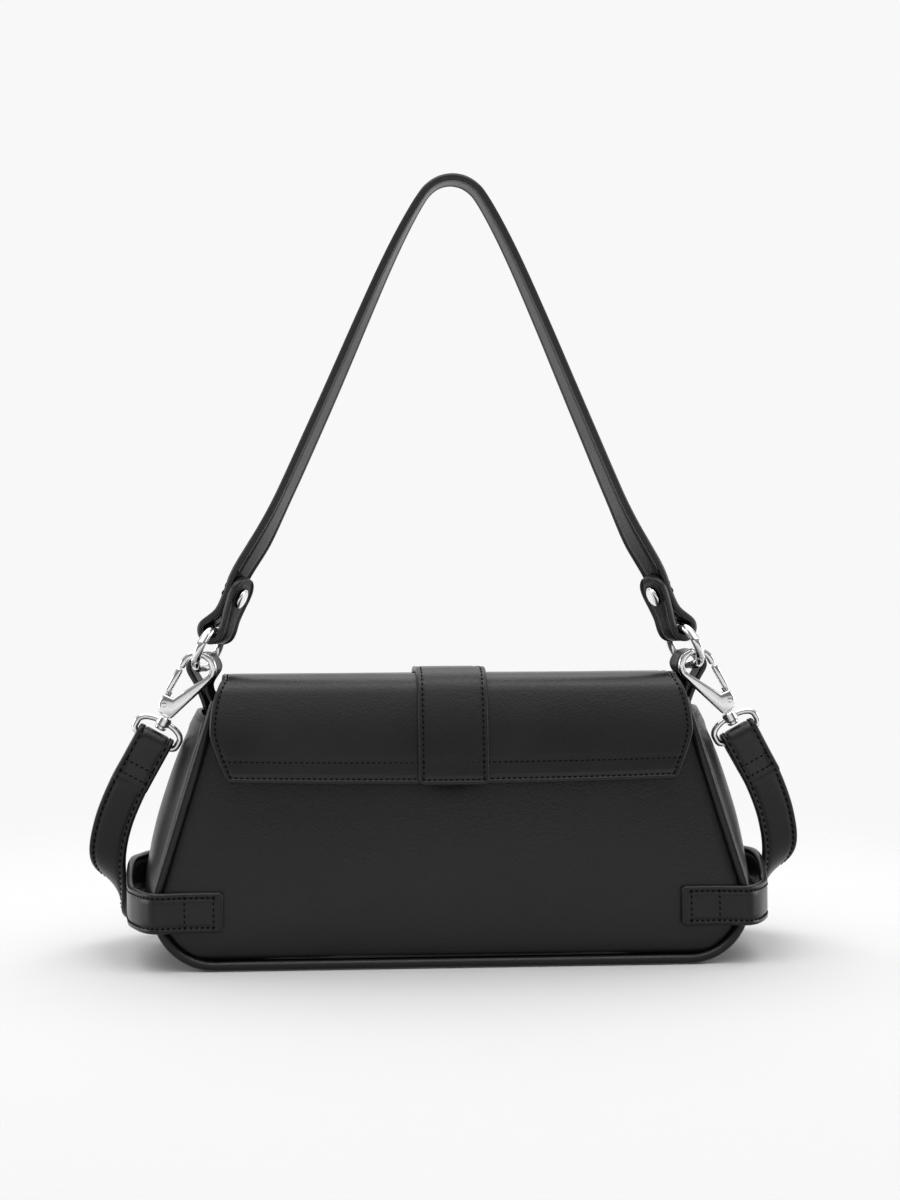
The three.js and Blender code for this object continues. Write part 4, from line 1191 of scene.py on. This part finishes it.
for word, side in bothSides:
    up, inward, at = hookFrame(side)
    makeHookBody(word, at)
    makeSwivel(word, up, at)
print("hooks ready")

# crossbody strap: sewn round one bail, down behind the bag in three runs, and up to the other bail

strap = {"width": 17.5, "wall": 3, "run": 96, "pitch": 8, "start": 51, "turn": 12, "lift": 0.4, "fold": 24,
         "foldShare": 0.55, "part": 0.4, "seam": 6.6, "landing": (22, 10), "landingSlant": 8,
         "route": ((156.3, 4, 62), (159.5, 11, 45), (156.5, 24, 30), (147, 39, 17)), "twistFrom": 6,
         "twistRun": 31, "twistPower": 1.6, "tip": 2, "inner": 6, "sewIn": 2, "crossRows": (4.4, 11),
         "facingAt": 6}
strapFoot = strap["width"] / 2 + strap["lift"]


def strapFall(side, lane):
    up, inward, at = hookFrame(side)
    fold = bail["wire"] / 2 + bag["gap"] + strap["wall"] / 2
    layer = (strap["wall"] + bag["gap"]) / 2
    long, short = strap["fold"], strap["fold"] * strap["foldShare"]

    def spot(s, y):
        return at(-bail["bottom"], 0) - up * s + Vector((0, y, 0))

    path = [spot(long, -layer), spot(short, -layer)]
    path += [spot(-fold * sin(turn), -fold * cos(turn)) for turn in halfTurn]
    path += [spot(short, layer), spot(long, layer + strap["part"])]
    path += [Vector((side * x, y, z)) for x, y, z in strap["route"]]
    for far in strap["landing"] + (bag["gap"],):
        path.append(Vector((side * (strap["run"] + far), lane - far / strap["landingSlant"], strapFoot)))
    return curveThrough(path, 216)


def strapBow(side, y):  # where the strap turns back behind the bag
    out, half = strap["run"] - strap["turn"], strap["pitch"] / 2
    return [Vector((side * (out + half * cos(turn)), y + half * (1 + sin(turn)), strapFoot))
            for turn in spread(-pi / 2, pi / 2, 12)]


def makeStrap():
    lanes = [strap["start"] + k * strap["pitch"] for k in range(3)]
    right, left = strapFall(1, lanes[0]), strapFall(-1, lanes[2])
    path = right + strapBow(-1, lanes[0]) + strapBow(1, lanes[1]) + left[::-1]

    def level(i):  # across the strap: along the hook's foot at the bails, upright behind the bag
        side = 1 if i < len(path) / 2 else -1
        share = clamp((path[i].y - strap["twistFrom"]) / strap["twistRun"]) ** strap["twistPower"]
        return (-hookFrame(side)[1] * side).lerp(Vector((0, 0, side)), share) * side

    piece = ribbon("crossbodyStrap", path, level, lambda i: strap["width"], strap["wall"], strap["tip"],
                   strap["inner"])
    settle(piece, "bag", "leather", "strap_left", "strap_right", "strap_folded")
    first, last = strap["sewIn"], len(path) - strap["sewIn"]
    for sign in (1, -1):
        sewRibbon("strap", path, level, strap["seam"], strap["wall"], first, last, sign)
    for order in (1, -1):
        spots = frames(path, level)[::order]
        sign = 1 if spots[strap["facingAt"]][3].y < 0 else -1
        for place in strap["crossRows"]:
            sewAcross("bag", spots[indexAt(path[::order], place)], strap["seam"], strap["wall"], sign)


makeStrap()
print("strap ready")

tree = stitchTree()
for group, look, body, blend in (("bag", fineStitch, "bag", None), ("strap", strapStitch, "bag", None),
                                 ("handle", strapStitch, "handle", None),
                                 ("flapBack", fineStitch, None, backBlend),
                                 ("flapFall", fineStitch, None, frontBlend)):
    settle(laySeams(tree, group, look), body, "leather", blend=blend)
print("stitches ready")

for name, finish in (("base_board", pressedBoard), ("ring_pin_left", chrome), ("ring_pin_right", chrome)):
    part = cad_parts[name]
    part.data.materials.clear()
    part.data.materials.append(finish)

# studio: pale floor that fades into a pale background, soft light from above, the sides and the front;
# its lengths are in metres

studio = {"ground": "#f8f8f8", "fadeStart": 0.17, "fadeEnd": 0.5, "floor": 0.79, "floorHalf": 2, "hush": 0.6,
          "low": 0.08, "high": 0.6, "lowAt": 0.05, "highAt": 0.9, "behind": 0.94, "behindFrom": 0.2,
          "behindTo": 0.75}
lamps = (("topLight", (0, 0.5, 1.3), (0, 0, 0.1), (1.8, 1.0), 9.6),  # place, aim, size and power
         ("stripLight", (0, -0.25, 1.2), (0, 0, 0.13), (1.8, 0.25), 4.4),
         ("leftLight", (-1.2, 0.05, 0.35), (0, 0, 0.1), (0.8, 0.6), 3.6),
         ("rightLight", (1.2, 0.05, 0.35), (0, 0, 0.1), (0.8, 0.6), 3.6),
         ("frontLight", (0, -1.2, 1.7), (0, 0, 0.15), (1.8, 0.9), 3.8),
         ("frontCard", (0, -1.6, 0.12), (0, 0, 0.1), (2.4, 0.26), 1.2))
view = {"place": (-0.0824, -1.132, 0.250), "pitch": 4.25, "turn": -4.2, "lens": 73.3, "sensor": 36}


def makeWorld():
    world = bpy.data.worlds.new("studio")
    bpy.context.scene.world = world
    world.use_nodes = True
    tree = world.node_tree
    tree.nodes.clear()
    path = node(tree, "ShaderNodeLightPath")
    around = node(tree, "ShaderNodeTexCoord").outputs["Generated"]
    heading = node(tree, "ShaderNodeSeparateXYZ", links={0: around}).outputs
    glow = node(tree, "ShaderNodeMapRange",
                {"From Min": studio["lowAt"], "From Max": studio["highAt"], "To Min": studio["low"],
                 "To Max": studio["high"]}, {"Value": heading["Z"]})
    # the pale backdrop behind the bag shows at grazing angles on the leather and in the metal
    behind = node(tree, "ShaderNodeMapRange",
                  {"From Min": studio["behindFrom"], "From Max": studio["behindTo"],
                   "To Max": studio["behind"]}, {"Value": heading["Y"]}, interpolation_type="SMOOTHSTEP")
    strength = node(tree, "ShaderNodeMath", links={0: glow, 1: behind}, operation="MAXIMUM")
    light = node(tree, "ShaderNodeBackground", {"Color": (1, 1, 1, 1)}, {"Strength": strength})
    pale = node(tree, "ShaderNodeBackground", {"Color": linear(studio["ground"]), "Strength": 1.0})
    mixed = node(tree, "ShaderNodeMixShader", links={0: path.outputs["Is Camera Ray"], 1: light, 2: pale})
    node(tree, "ShaderNodeOutputWorld", links={"Surface": mixed})


def makeFloor():
    material, tree, place = newMaterial("paperFloor")
    far = node(tree, "ShaderNodeVectorMath", links={0: place["Vector"]}, operation="LENGTH")
    fade = node(tree, "ShaderNodeMapRange", {"From Min": studio["fadeStart"], "From Max": studio["fadeEnd"]},
                {"Value": far.outputs["Value"]}, interpolation_type="SMOOTHSTEP")
    path = node(tree, "ShaderNodeLightPath")
    near = node(tree, "ShaderNodeMapRange", {"To Min": studio["hush"], "To Max": 0.0}, {"Value": fade})
    hush = node(tree, "ShaderNodeMath", links={0: path.outputs["Is Glossy Ray"], 1: near},
                operation="MULTIPLY")
    seen = node(tree, "ShaderNodeMath", links={0: fade, 1: path.outputs["Is Camera Ray"], 2: hush},
                operation="MULTIPLY_ADD")
    matt = node(tree, "ShaderNodeBsdfDiffuse", {"Color": (studio["floor"],) * 3 + (1,)})
    clear = node(tree, "ShaderNodeBsdfTransparent")
    mixed = node(tree, "ShaderNodeMixShader", links={0: seen, 1: matt, 2: clear})
    node(tree, "ShaderNodeOutputMaterial", links={"Surface": mixed})
    half = studio["floorHalf"]
    mesh = bpy.data.meshes.new("floor")
    corners = [(half * x, half * y, 0) for x, y in ((-1, -1), (1, -1), (1, 1), (-1, 1))]
    mesh.from_pydata(corners, [], [(0, 1, 2, 3)])
    mesh.materials.append(material)
    addObject("floor", mesh)


def makeLights():
    for name, place, aim, size, power in lamps:
        lamp = bpy.data.lights.new(name, "AREA")
        lamp.shape = "RECTANGLE"
        lamp.size, lamp.size_y = size
        lamp.energy = power
        item = addObject(name, lamp)
        item.location = place
        item.rotation_euler = (Vector(aim) - Vector(place)).to_track_quat("-Z", "Y").to_euler()


def makeCamera():
    lens = bpy.data.cameras.new("camera")
    lens.sensor_fit = "VERTICAL"
    lens.sensor_height = view["sensor"]
    lens.lens = view["lens"]
    camera = addObject("camera", lens)
    camera.location = view["place"]
    camera.rotation_euler = (radians(90 - view["pitch"]), 0, radians(view["turn"]))
    bpy.context.scene.camera = camera


bpy.context.scene.view_settings.view_transform = "Standard"
makeWorld()
makeFloor()
makeLights()
makeCamera()
print("studio ready")
